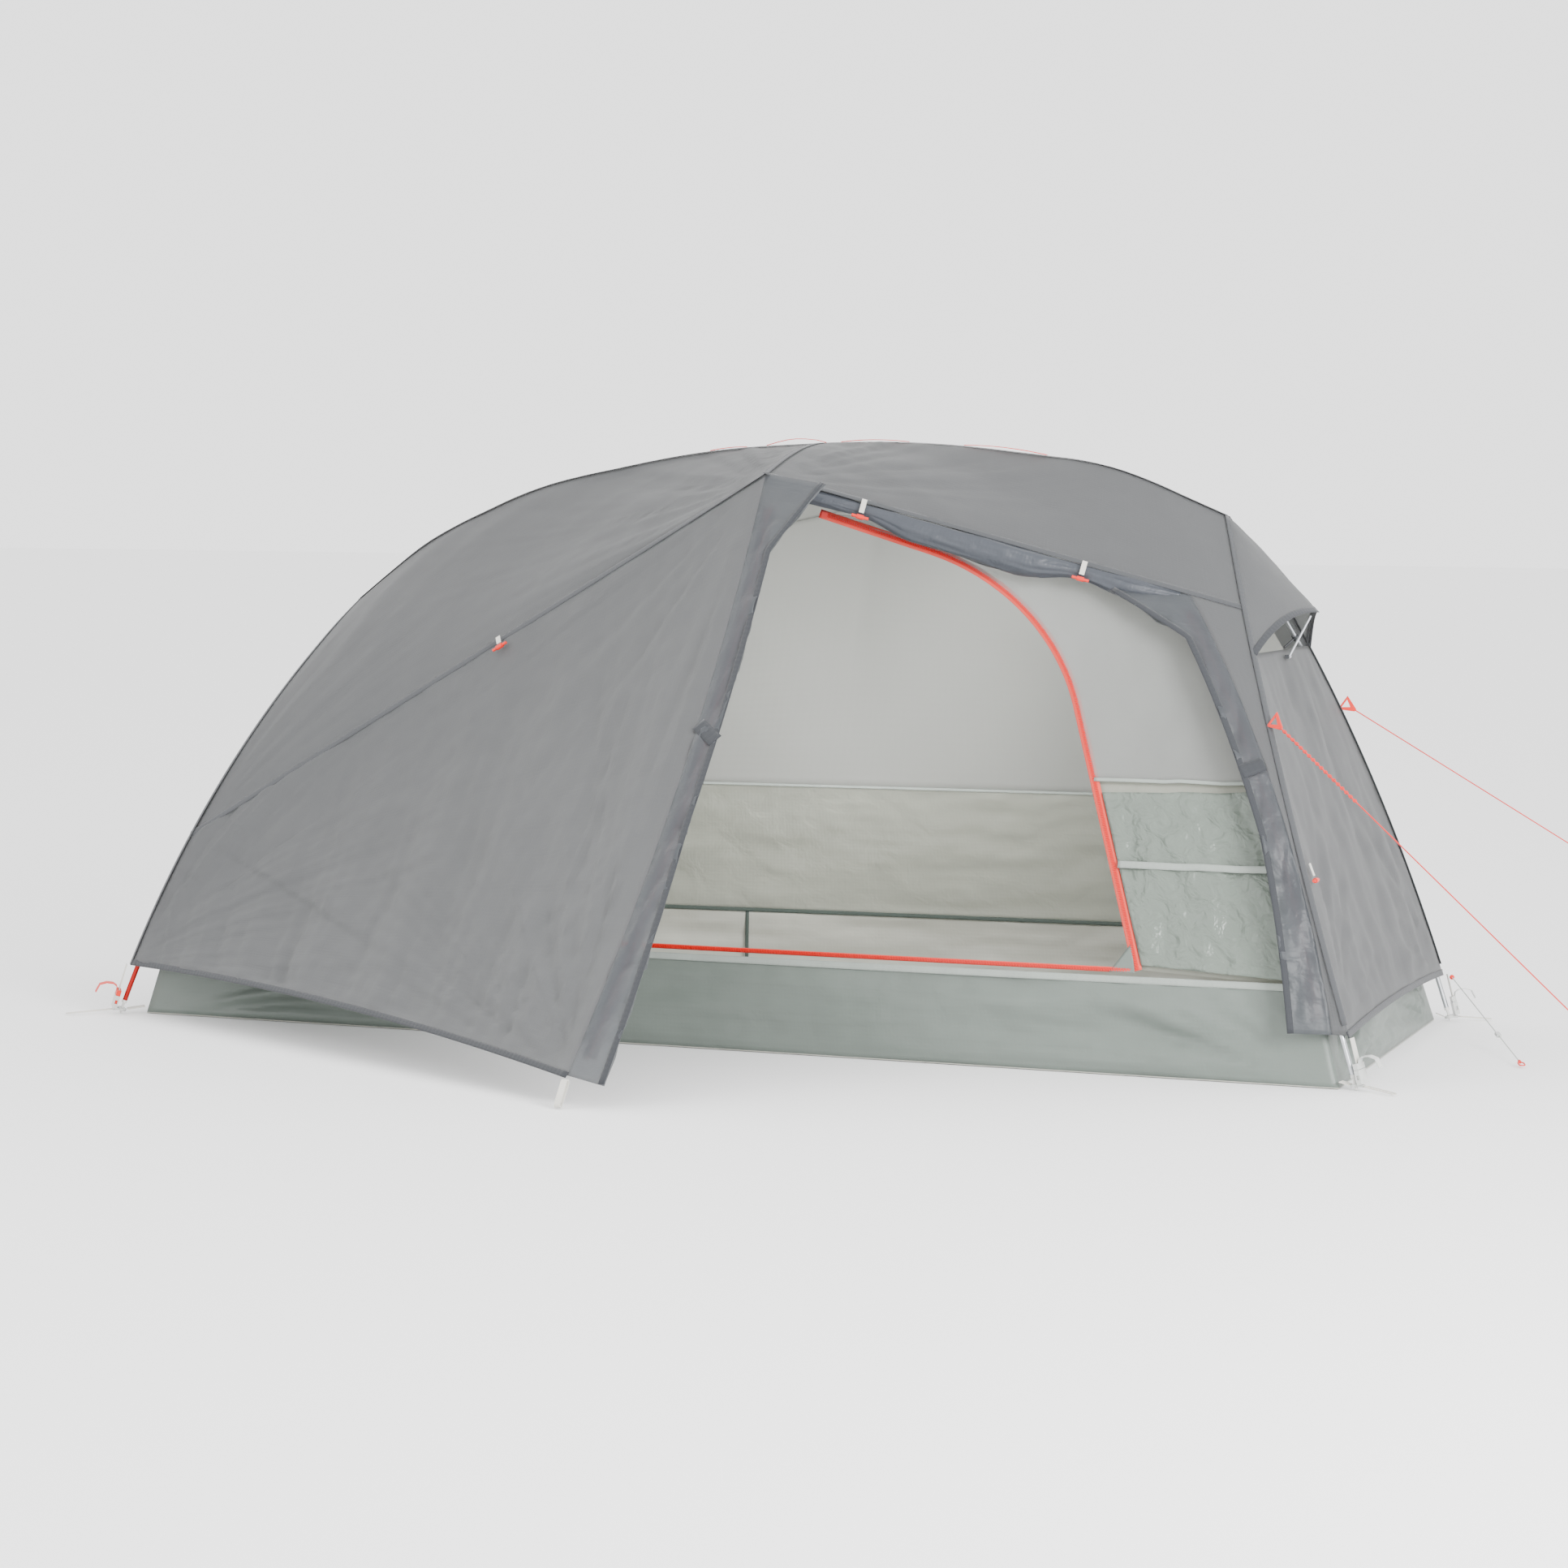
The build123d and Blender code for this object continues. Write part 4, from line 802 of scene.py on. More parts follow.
@dataclass
class ZipCoil:
    """Teeth of a zip along a curve, one small block each."""

    name: str
    path: Curve
    out: Callable[[float], Vector]
    width: float = 0.0055
    pitch: float = 0.0024
    height: float = 0.0020

    def build(self) -> bpy.types.Object:
        """Build a row of teeth that lean from side to side, as a closed coil looks."""
        count = int(length_of(self.path) / self.pitch)
        bm = bmesh.new()
        for i in range(count):
            t = (i + 0.5) / count
            way = tangent(self.path, t)
            normal = square_to(way, self.out(t))
            side = way.cross(normal)
            lean = 0.18 if i % 2 else -0.18
            across = (side + way * lean).normalized()
            turn = Matrix((across, normal.cross(across), normal)).transposed().to_4x4()
            size = Matrix.Diagonal((self.width, self.pitch * 0.62, self.height, 1))
            bmesh.ops.create_cube(bm, size=1.0, matrix=Matrix.Translation(self.path(t)) @ turn @ size)
        return new_piece(self.name, bm, smooth=False)


# ---- layout of poles and seams ----
@dataclass
class Layout:
    """Lines that the poles, the fly and the inner tent follow."""

    foot_width: float = 0.707
    ridge_height: float = 1.056
    head_hub_inset: float = 0.308
    foot_hub_inset: float = 0.275
    head_hub_drop: float = 0.138
    foot_hub_drop: float = 0.307
    head_tip_out: tuple[float, float] = (0.032, 0.0125)
    foot_tip_out: tuple[float, float] = (0.046, 0.0315)
    tip_start: float = 0.030
    head_leg_bow: float = 0.112
    foot_leg_bow: float = 0.088
    leg_lean: float = 0.12
    fly_off: float = 0.0135
    inner_off: float = 0.032
    brow_lift: float = 0.0092
    brow_rise: float = 0.057
    tub_height: float = 0.160
    low_wall_top: float = 0.410

    def __post_init__(self) -> None:
        """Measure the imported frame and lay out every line."""
        low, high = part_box("floor")
        self.floor_low, self.floor_high = low, high
        self.hub = {
            End.HEAD: Vector((high.x - self.head_hub_inset, 0, self.ridge_height - self.head_hub_drop)),
            End.FOOT: Vector((low.x + self.foot_hub_inset, 0, self.ridge_height - self.foot_hub_drop))}
        self.legs: dict[tuple[End, Side], Curve] = {}
        self.leg_out: dict[tuple[End, Side], Vector] = {}
        self.floor_corner: dict[tuple[End, Side], Vector] = {}
        for end, x, width, tip_out, bow in (
                (End.HEAD, high.x, high.y - low.y, self.head_tip_out, self.head_leg_bow),
                (End.FOOT, low.x, self.foot_width, self.foot_tip_out, self.foot_leg_bow)):
            for side in Side:
                corner = Vector((x, side.value * width / 2, 0))
                tip = corner + Vector((end.value * tip_out[0], side.value * tip_out[1], 0))
                hub = self.hub[end]
                foot = tip + (hub - tip).normalized() * self.tip_start
                chord = (foot - hub).normalized()
                self.floor_corner[end, side] = corner
                self.legs[end, side] = bowed(hub, foot, bow, Vector((end.value * self.leg_lean, side.value, 0)))
                self.leg_out[end, side] = square_to(chord, Vector((end.value, side.value, 0)))
        self.spine = through(self.spine_points())
        brow_low, brow_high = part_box("brow_pole")
        self.brow_x = (brow_low.x + brow_high.x) / 2
        self.brow_share = share_where(self.spine, lambda p: p.x >= self.brow_x)
        top = Vector((self.brow_x, 0, self.spine(self.brow_share).z + self.brow_lift))
        half = brow_high.y - 0.0012
        ends = [Vector((self.brow_x, y, top.z - self.brow_rise)) for y in (-half, half)]
        self.brow = arc(ends[0], top, ends[1])

    def spine_points(self) -> list[Vector]:
        """Points on the spine pole's axis, cut from its packed tubes at even steps."""
        source = bpy.data.objects["spine_pole_tubes"].data
        low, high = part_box("spine_pole_tubes")
        points = [self.hub[End.FOOT]]
        steps = 26
        for i in range(1, steps):
            x = low.x + (high.x - low.x) * i / steps
            bm = bmesh.new()
            bm.from_mesh(source)
            cut = bmesh.ops.bisect_plane(bm, geom=bm.verts[:] + bm.edges[:] + bm.faces[:],
                                         plane_co=(x, 0, 0), plane_no=(1, 0, 0))["geom_cut"]
            heights = [g.co.z for g in cut if isinstance(g, bmesh.types.BMVert)]
            bm.free()
            if heights:
                points.append(Vector((x, 0, (min(heights) + max(heights)) / 2)))
        return points + [self.hub[End.HEAD]]

    def spine_normal(self, t: float) -> Vector:
        """Upward normal of the spine at a share."""
        way = tangent(self.spine, t)
        return Vector((-way.z, 0, way.x)).normalized()

    def ridge(self, t: float, off: float) -> Vector:
        """Cloth line over or under the spine, lifted at the brow pole."""
        b = self.brow_share
        lift = self.brow_lift * (t / b if t < b else (1 - t) / (1 - b))
        return self.spine(t) + self.spine_normal(t) * (off + (lift if off > 0 else 0))

    def leg_line(self, end: End, side: Side, off: float) -> Curve:
        """Cloth line along a leg, off its axis."""
        leg, out = self.legs[end, side], self.leg_out[end, side]
        cap = self.spine_normal(1 if end is End.HEAD else 0)
        return lambda t: leg(t) + lerp(cap, out, min(t / 0.15, 1)).normalized() * off

    def leg_piece(self, end: End, side: Side, off: float, start: float, stop: float) -> Curve:
        """Part of a leg's cloth line between two heights."""
        line = self.leg_line(end, side, off)
        a = 0.0 if start > 2 else share_where(line, lambda p: p.z <= start)
        b = share_where(line, lambda p: p.z <= stop)
        return stretch(line, a, b)

    def brow_line(self, side: Side, off: float) -> Curve:
        """Cloth line along the brow pole, from the ridge out to one side."""
        def at(t: float) -> Vector:
            """Point at share t."""
            share = 0.5 + side.value * t / 2
            way = tangent(self.brow, share)
            return self.brow(share) + Vector((0, -way.z, way.y)) * off
        return at


RIDGE = 9.0    # a start height above everything: the hub itself


@dataclass
class Fly:
    """The rain fly: roof, walls, visor, door strip, flaps and seams."""

    layout: Layout
    workshop: Workshop
    seam_height: float = 0.330
    roof_hem_height: float = 0.775
    vent_height: float = 0.700
    head_hem_height: float = 0.092
    foot_hem_height: float = 0.097
    corner_height: float = 0.048
    visor_tip: tuple[float, float] = (0.974, 0.768)
    seam_bow: float = 0.026
    hem_rise: float = 0.020
    end_hem_rise: float = 0.012
    seam_width: float = 0.010

    def __post_init__(self) -> None:
        """Lay out the corners and borders of every panel."""
        lay, off = self.layout, self.layout.fly_off
        near = Side.NEAR
        self.roof_left = lay.leg_piece(End.FOOT, near, off, RIDGE, self.seam_height)
        self.roof_right = lay.leg_piece(End.HEAD, near, off, RIDGE, self.roof_hem_height)
        self.seam_start = self.roof_left(1)
        self.roof_corner = self.roof_right(1)
        brow_top = lay.brow_line(near, off)
        self.brow_corner = brow_top(1) + Vector((0, -0.008, 0))
        self.brow_edge = lambda t: lerp(brow_top(t), self.brow_corner, t ** 4)
        self.ridge_foot = lambda u: lay.ridge(lay.brow_share * u, off)
        self.ridge_head = lambda u: lay.ridge(lay.brow_share + (1 - lay.brow_share) * u, off)
        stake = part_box("fly_vestibule_panel")[0]
        self.stake_corner = Vector((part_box("fly_vestibule_panel")[1].x, stake.y, self.corner_height))
        self.stake_corner.x = 0.018
        self.foot_low = lay.leg_piece(End.FOOT, near, off, self.seam_height, self.foot_hem_height)
        self.head_low = lay.leg_piece(End.HEAD, near, off, self.roof_hem_height, self.head_hem_height)
        self.foot_corner, self.head_corner = self.foot_low(1), self.head_low(1)
        self.door_seam = bowed(self.brow_corner, self.stake_corner, self.seam_bow, Vector((1, 0, 0)))
        self.vestibule_hem = bowed(self.foot_corner, self.stake_corner, self.hem_rise, UP)
        self.vent_point = lay.leg_piece(End.HEAD, near, off, RIDGE, self.vent_height)(1)
        self.strip_top = lerp(self.brow_corner, self.roof_corner, 0.885)
        foot = self.head_corner + Vector((-0.024, -0.004, 0))
        middle = self.head_low(0.52) + Vector((-0.013, -0.006, 0))
        self.strip_seam = arc(self.strip_top, middle, foot)

    def out_of(self, surface: Surface, u: float, v: float) -> Vector:
        """Outward normal of a panel's surface."""
        normal = surface_normal(surface, u, v)
        return normal if normal.dot(surface(u, v) - Vector((0, 0, 0.3))) > 0 else -normal

    def roof(self) -> None:
        """The four roof panels, with long soft folds along the ridge."""
        foot = patch(self.ridge_foot, straight(self.seam_start, self.brow_corner),
                     self.roof_left, self.brow_edge)
        head = patch(self.ridge_head, straight(self.brow_corner, self.roof_corner),
                     self.brow_edge, self.roof_right)
        along = (self.brow_corner - self.seam_start).normalized()
        across = Vector((0, -0.8, 0.6))
        for side in Side:
            turn = (lambda s: s) if side is Side.NEAR else (lambda s: lambda u, v: flip(s(u, v)))
            point = (lambda p: p) if side is Side.NEAR else flip
            folds = [Belly(-0.004), Ripples(point(along), point(across), 0.10, 0.012, seed=side.value),
                     Pull(point(self.brow_corner), point(-along), 0.30, 0.026, seed=2.0),
                     Pull(point(self.seam_start), point(along), 0.26, 0.020, seed=5.0),
                     Crumple(0.05, 0.0010)]
            name = side.name.lower()
            self.workshop.dress(Panel(f"fly_roof_foot_{name}", turn(foot), 56, 90, folds, second=True).build(),
                                Wardrobe.fly, Wardrobe.fly_inside, replaces=["fly_roof_foot_panels"])
            folds = [Belly(-0.003), Ripples(point(Vector((1, 0.1, -0.1))), point(across), 0.11, 0.010, seed=3.0),
                     Pull(point(self.brow_corner), point(Vector((1, 0.2, 0)).normalized()), 0.26, 0.022, seed=7.0),
                     Crumple(0.05, 0.0010)]
            self.workshop.dress(Panel(f"fly_roof_head_{name}", turn(head), 50, 70, folds, second=True).build(),
                                Wardrobe.fly, Wardrobe.fly_inside, replaces=["fly_roof_head_panels"])
        self.roof_foot, self.roof_head = foot, head

    def walls(self) -> None:
        """The vestibule panel, the far wall and the two ends."""
        vestibule = patch(straight(self.seam_start, self.brow_corner), self.vestibule_hem,
                          self.foot_low, self.door_seam)
        down = (self.stake_corner - self.brow_corner).normalized()
        side = down.cross(self.out_of(vestibule, 0.5, 0.5)).normalized()
        toward = lambda a, b, *sizes: Pull(a, (b - a).normalized(), *sizes)
        folds = [Belly(-0.014), Ripples(down, side, 0.045, 0.008, stretch=9, fade_v=(0.8, 0.0), seed=1.0),
                 Ripples(down, side, 0.10, 0.018, stretch=6, fade_v=(0.8, 0.0), seed=9.0),
                 toward(self.stake_corner, self.seam_start, 0.60, 0.034, 10, 4.0, 0.45),
                 toward(self.foot_corner, self.brow_corner, 0.40, 0.022, 9, 6.0, 0.40),
                 toward(self.brow_corner, self.foot_corner, 0.35, 0.020, 9, 3.0, 0.40),
                 Crumple(0.045, 0.0022)]
        self.workshop.dress(Panel("fly_vestibule", vestibule, 120, 140, folds, edge=0.03, second=True).build(),
                            Wardrobe.fly, Wardrobe.fly_inside, replaces=["fly_vestibule_panel"])
        self.vestibule = vestibule

        eave = lambda u: (lerp(self.seam_start, self.brow_corner, 2 * u) if u < 0.5
                          else lerp(self.brow_corner, self.roof_corner, 2 * u - 1))
        hem = bowed(flip(self.foot_corner), flip(self.head_corner), self.hem_rise, UP)
        far = patch(mirrored(eave), hem, mirrored(self.foot_low), mirrored(self.head_low))
        folds = [Belly(-0.010),
                 Ripples(Vector((0, 0.2, -1)), Vector((1, 0, 0)), 0.09, 0.010, fade_v=(0.7, 0), seed=2.5),
                 Pull(flip(self.foot_corner), Vector((0.8, 0, 0.6)), 0.2, 0.012, seed=1.0),
                 Pull(flip(self.head_corner), Vector((-0.8, 0, 0.6)), 0.2, 0.012, seed=8.0), Crumple(0.05, 0.0012)]
        self.workshop.dress(Panel("fly_far_wall", far, 60, 130, folds, second=True).build(),
                            Wardrobe.fly, Wardrobe.fly_inside, replaces=["fly_wall_far"])
        self.far_wall = far

        lay, off = self.layout, self.layout.fly_off
        hem = bowed(self.foot_corner, flip(self.foot_corner), self.end_hem_rise, UP)
        foot_left = lay.leg_piece(End.FOOT, Side.NEAR, off, RIDGE, self.foot_hem_height)
        foot = patch(lambda u: foot_left(0), hem, foot_left, mirrored(foot_left))
        folds = [Belly(-0.004), Pull(self.foot_corner, Vector((0.2, 0.5, 0.8)).normalized(), 0.2, 0.010, seed=3.0),
                 Pull(flip(self.foot_corner), Vector((0.2, -0.5, 0.8)).normalized(), 0.2, 0.010, seed=4.0),
                 Crumple(0.05, 0.0012)]
        self.workshop.dress(Panel("fly_foot_end", foot, 66, 56, folds, second=True).build(), Wardrobe.fly,
                            Wardrobe.fly_inside, replaces=["fly_foot_end"])
        self.foot_end = foot

        sides = lay.leg_piece(End.HEAD, Side.NEAR, off, self.vent_height, self.head_hem_height)
        hem = bowed(self.head_corner, flip(self.head_corner), self.end_hem_rise, UP)
        head = patch(straight(sides(0), flip(sides(0))), hem, sides, mirrored(sides))
        folds = [Belly(-0.006), Pull(self.head_corner, Vector((-0.2, 0.4, 0.9)).normalized(), 0.30, 0.028, seed=3.0),
                 Pull(flip(self.head_corner), Vector((-0.2, -0.4, 0.9)).normalized(), 0.30, 0.028, seed=6.0),
                 Ripples(UP, Vector((0, 1, 0)), 0.10, 0.014, seed=4.0), Crumple(0.05, 0.0020)]
        self.workshop.dress(Panel("fly_head_end", head, 60, 60, folds, second=True).build(), Wardrobe.fly,
                            Wardrobe.fly_inside, replaces=["fly_head_end"])
        self.head_end = head

    def visor(self) -> None:
        """The vent's hood, in two halves that meet at the tip."""
        hub_top = self.layout.leg_line(End.HEAD, Side.NEAR, self.layout.fly_off)(0)
        tip = Vector((self.visor_tip[0], 0, self.visor_tip[1]))
        hem = bowed(self.vent_point, tip, 0.022, UP)
        leg = self.layout.leg_piece(End.HEAD, Side.NEAR, self.layout.fly_off, RIDGE, self.vent_height)
        half = patch(lambda u: hub_top, hem, leg, straight(hub_top, tip))
        folds = [Belly(0.004), Pull(tip, Vector((-0.7, -0.3, 0.6)).normalized(), 0.12, 0.006, seed=2.0),
                 Crumple(0.04, 0.0012)]
        for side in Side:
            surface = half if side is Side.NEAR else (lambda u, v: flip(half(u, v)))
            piece = Panel(f"fly_visor_{side.name.lower()}", surface, 30, 34, folds, second=True).build()
            self.workshop.dress(piece, Wardrobe.fly, Wardrobe.fly_inside, replaces=["fly_vent_visor"])
            edge = hem if side is Side.NEAR else mirrored(hem)
            out = lambda t, s=surface: self.out_of(s, t, 0.98)
            self.workshop.dress(seam_on(f"visor_hem_{side.name.lower()}", edge, 0.012, out, steps=30, shift=0.0),
                                Wardrobe.dark_tape)

    def door_strip(self) -> None:
        """The narrow strip of fly between the door's zip and the leg."""
        strip = patch(straight(self.strip_top, self.roof_corner),
                      straight(self.strip_seam(1), self.head_corner), self.strip_seam, self.head_low)
        folds = [Ripples(UP, Vector((1, 0, 0)), 0.03, 0.002, seed=1.0)]
        self.workshop.dress(Panel("fly_side_strip", strip, 70, 8, folds, second=True).build(), Wardrobe.fly,
                            Wardrobe.fly_inside, replaces=["fly_side_strip"])

    def seams(self) -> None:
        """Felled seams and bound hems, as dark tapes on the cloth."""
        near = Side.NEAR
        w = self.seam_width
        roof_out = lambda t: self.out_of(self.roof_foot, t, 0.97)
        head_out = lambda t: self.out_of(self.roof_head, t, 0.97)
        rows = [("vestibule_seam", straight(self.seam_start, self.brow_corner), roof_out, w * 1.1),
                ("roof_hem", straight(self.brow_corner, self.roof_corner), head_out, w * 1.1),
                ("ridge_seam_foot", self.ridge_foot, lambda t: self.layout.spine_normal(0.3), w),
                ("ridge_seam_head", self.ridge_head, lambda t: self.layout.spine_normal(0.8), w)]
        for name, path, out, width in rows:
            self.workshop.dress(seam_on(name, path, width, out), Wardrobe.seam_tape)
        for side in Side:
            point = (lambda c: c) if side is near else mirrored
            tag = side.name.lower()
            leg_out = self.layout.leg_out
            leg = lambda end: point(stretch(self.layout.leg_line(end, near, self.layout.fly_off), 0.0, 0.93))
            runs = [(f"brow_seam_{tag}", point(self.brow_edge), lambda t: UP, w, 40),
                    (f"foot_leg_seam_{tag}", leg(End.FOOT),
                     lambda t, s=side: leg_out[End.FOOT, s], w, 70),
                    (f"head_leg_seam_{tag}", leg(End.HEAD),
                     lambda t, s=side: leg_out[End.HEAD, s], w * 1.1, 70)]
            for name, path, out, width, steps in runs:
                self.workshop.dress(seam_on(name, path, width, out, steps=steps), Wardrobe.seam_tape)
        hems = [("vestibule_hem", self.vestibule_hem, lambda t: self.out_of(self.vestibule, t, 0.99)),
                ("far_hem", lambda t: self.far_wall(t, 1), lambda t: self.out_of(self.far_wall, t, 0.99)),
                ("foot_hem", lambda t: self.foot_end(t, 1), lambda t: self.out_of(self.foot_end, t, 0.99)),
                ("head_hem", lambda t: self.head_end(t, 1), lambda t: self.out_of(self.head_end, t, 0.99))]
        for name, path, out in hems:
            self.workshop.dress(seam_on(name, path, 0.011, out, steps=90), Wardrobe.dark_tape)

    def build(self) -> None:
        """Build and dress every piece of the fly."""
        self.roof()
        self.walls()
        self.visor()
        self.door_strip()
        self.seams()


@dataclass
class FlyDoor:
    """The door side of the fly: storm flaps, zips and the rolled-up panel."""

    fly: Fly
    workshop: Workshop
    flap_top: float = 0.128
    flap_middle: float = 0.046
    flap_foot: float = 0.074
    narrowing: float = 0.13
    coil_depth: float = 0.011
    coil_from_seam: float = 0.017
    roll_stations: tuple[tuple[float, float], ...] = (
        (0.0, 0.007), (0.09, 0.013), (0.21, 0.012), (0.33, 0.021), (0.55, 0.023), (0.67, 0.013), (0.77, 0.018),
        (0.87, 0.010))

    def flap_width(self, t: float, grow: float) -> float:
        """Width of a storm flap at a share down its seam."""
        wide = self.flap_middle + (self.flap_top * grow - self.flap_middle) * max(0.0, 1 - t / self.narrowing)
        return wide + (self.flap_foot - self.flap_middle) * max(0.0, (t - 0.6) / 0.4)

    def flap(self, name: str, seam: Curve, way: Vector, grow: float, seed: float) -> None:
        """One storm flap with its bound edge and its closing tab.

        Args:
            name: left or right.
            seam: the seam that it hangs from.
            way: direction that it lies in from the seam.
            grow: how much wider its top is.
            seed: what sets its creases apart.
        """
        edge = lambda v: seam(v) + way * (self.flap_width(v, grow) * 0.99)
        surface = lambda u, v: lerp(seam(v), edge(v), u)
        folds = [Ripples(tangent(seam, 0.5), way, 0.022, 0.006, stretch=5, seed=seed),
                 Ripples(way, tangent(seam, 0.5), 0.05, 0.013, stretch=3, fade_u=(0.9, 0), seed=seed + 3),
                 Crumple(0.02, 0.0026, seed)]
        piece = Panel(f"storm_flap_{name}", surface, 110, 14, folds, edge=0.08, open_edges=("right",)).build()
        self.workshop.dress(piece, Wardrobe.flap, replaces=["storm_flaps"])
        out = lambda t: self.fly.out_of(surface, 0.9, t)
        hem = lambda t: surface(0.93, t) + out(t) * 0.0015
        self.workshop.dress(seam_on(f"storm_flap_hem_{name}", hem, 0.011, out, lift=0.0012, steps=90),
                            Wardrobe.dark_tape)
        tab = lambda t: lerp(surface(0.05, 0.44), surface(1.0, 0.46), t)
        self.workshop.dress(seam_on(f"storm_flap_tab_{name}", tab, 0.026, lambda t: out(0.45), lift=0.003, steps=12),
                            Wardrobe.dark_tape)

    def zip_line(self, name: str, seam: Curve, way: Vector) -> None:
        """One zip of the fly door: its coil and its tape, inside the flap."""
        normal = way.cross(tangent(seam, 0.5)).normalized()
        into = normal if normal.y > 0 else -normal
        points = [seam(t) + way * self.coil_from_seam + into * self.coil_depth for t in (0.05, 0.5075, 0.965)]
        path = arc(*points)
        coil = ZipCoil(f"fly_zip_{name}", path, lambda t: -into).build()
        self.workshop.dress(coil, Wardrobe.coil, replaces=["fly_zip_coils"])
        side = tangent(path, 0.5).cross(into).normalized()
        tape = Ribbon(f"fly_zip_tape_{name}", path, lambda t: side, 0.026, lambda t: into * 0.0022, steps=80)
        self.workshop.dress(tape.build(), Wardrobe.fly_zip_tape)

    def roll(self) -> None:
        """The door panel rolled up under the roof's hem, drawn in by its two toggles."""
        a, b = self.fly.brow_corner, self.fly.roof_corner
        way = (b - a).normalized()
        down = square_to(way, -UP)
        side = way.cross(down)
        shares, radii = zip(*self.roll_stations)

        def radius(s: float) -> float:
            """Radius of the roll at a share of the hem, eased between its stations."""
            for (s0, r0), (s1, r1) in zip(self.roll_stations, self.roll_stations[1:]):
                if s <= s1:
                    f = max(0.0, (s - s0) / (s1 - s0))
                    f = f * f * (3 - 2 * f)
                    return r0 + (r1 - r0) * f
            return radii[-1]

        bm = bmesh.new()
        around, along = 40, 150
        bmesh.ops.create_grid(bm, x_segments=along, y_segments=around, size=0.5)
        layer = bm.loops.layers.uv.new("cloth")
        span = (b - a).length * (shares[-1] - shares[0])
        for face in bm.faces:
            for loop in face.loops:
                loop[layer].uv = ((loop.vert.co.x + 0.5) * span, (loop.vert.co.y + 0.5) * 0.12)
        for vert in bm.verts:
            t, turn = vert.co.x + 0.5, (vert.co.y + 0.5) * 2 * math.pi
            s = shares[0] + (shares[-1] - shares[0]) * t
            r = radius(s)
            centre = lerp(a, b, s) + down * (r + 0.004)
            direction = Vector((math.cos(turn), math.sin(turn), 0))
            fold = noise.noise(direction * 2.6 + Vector((0, 0, s * 5.0)))
            fine = noise.noise(direction * 7.0 + Vector((0, 0, s * 16.0)))
            pinch = min(abs(s - q) for q in (0.21, 0.67)) / 0.04
            swell = 1 + (0.17 * fold + 0.07 * fine) * min(1.0, 0.25 + pinch)
            swell -= 0.10 if abs(((turn + s * 2.2) % 1.6) - 0.8) < 0.06 else 0.0
            r = min(r * swell, r + 0.004)
            vert.co = centre + down * (math.cos(turn) * r) + side * (math.sin(turn) * r * 0.8)
        bmesh.ops.remove_doubles(bm, verts=bm.verts, dist=0.0002)
        ends = [e for e in bm.edges if e.is_boundary]
        bmesh.ops.holes_fill(bm, edges=ends, sides=0)
        bmesh.ops.recalc_face_normals(bm, faces=bm.faces)
        # The roll's finish is the fly's cloth made darker: painted shade.
        self.workshop.dress(new_piece("fly_door_roll", bm), Wardrobe.roll, replaces=["rolled_fly_door"])

    def build(self) -> None:
        """Build both flaps, both zips and the roll."""
        left = (Vector((1, 0, 0)) - UP * 0.15 - Vector((0, 0.28, 0))).normalized()
        right = Vector((-0.93, -0.30, 0.02)).normalized()
        for name, seam, way, grow, seed in (("left", self.fly.door_seam, left, 1.0, 2.0),
                                            ("right", self.fly.strip_seam, right, 1.1, 8.0)):
            self.flap(name, seam, way, grow, seed)
            self.zip_line(name, seam, way)
        self.roll()


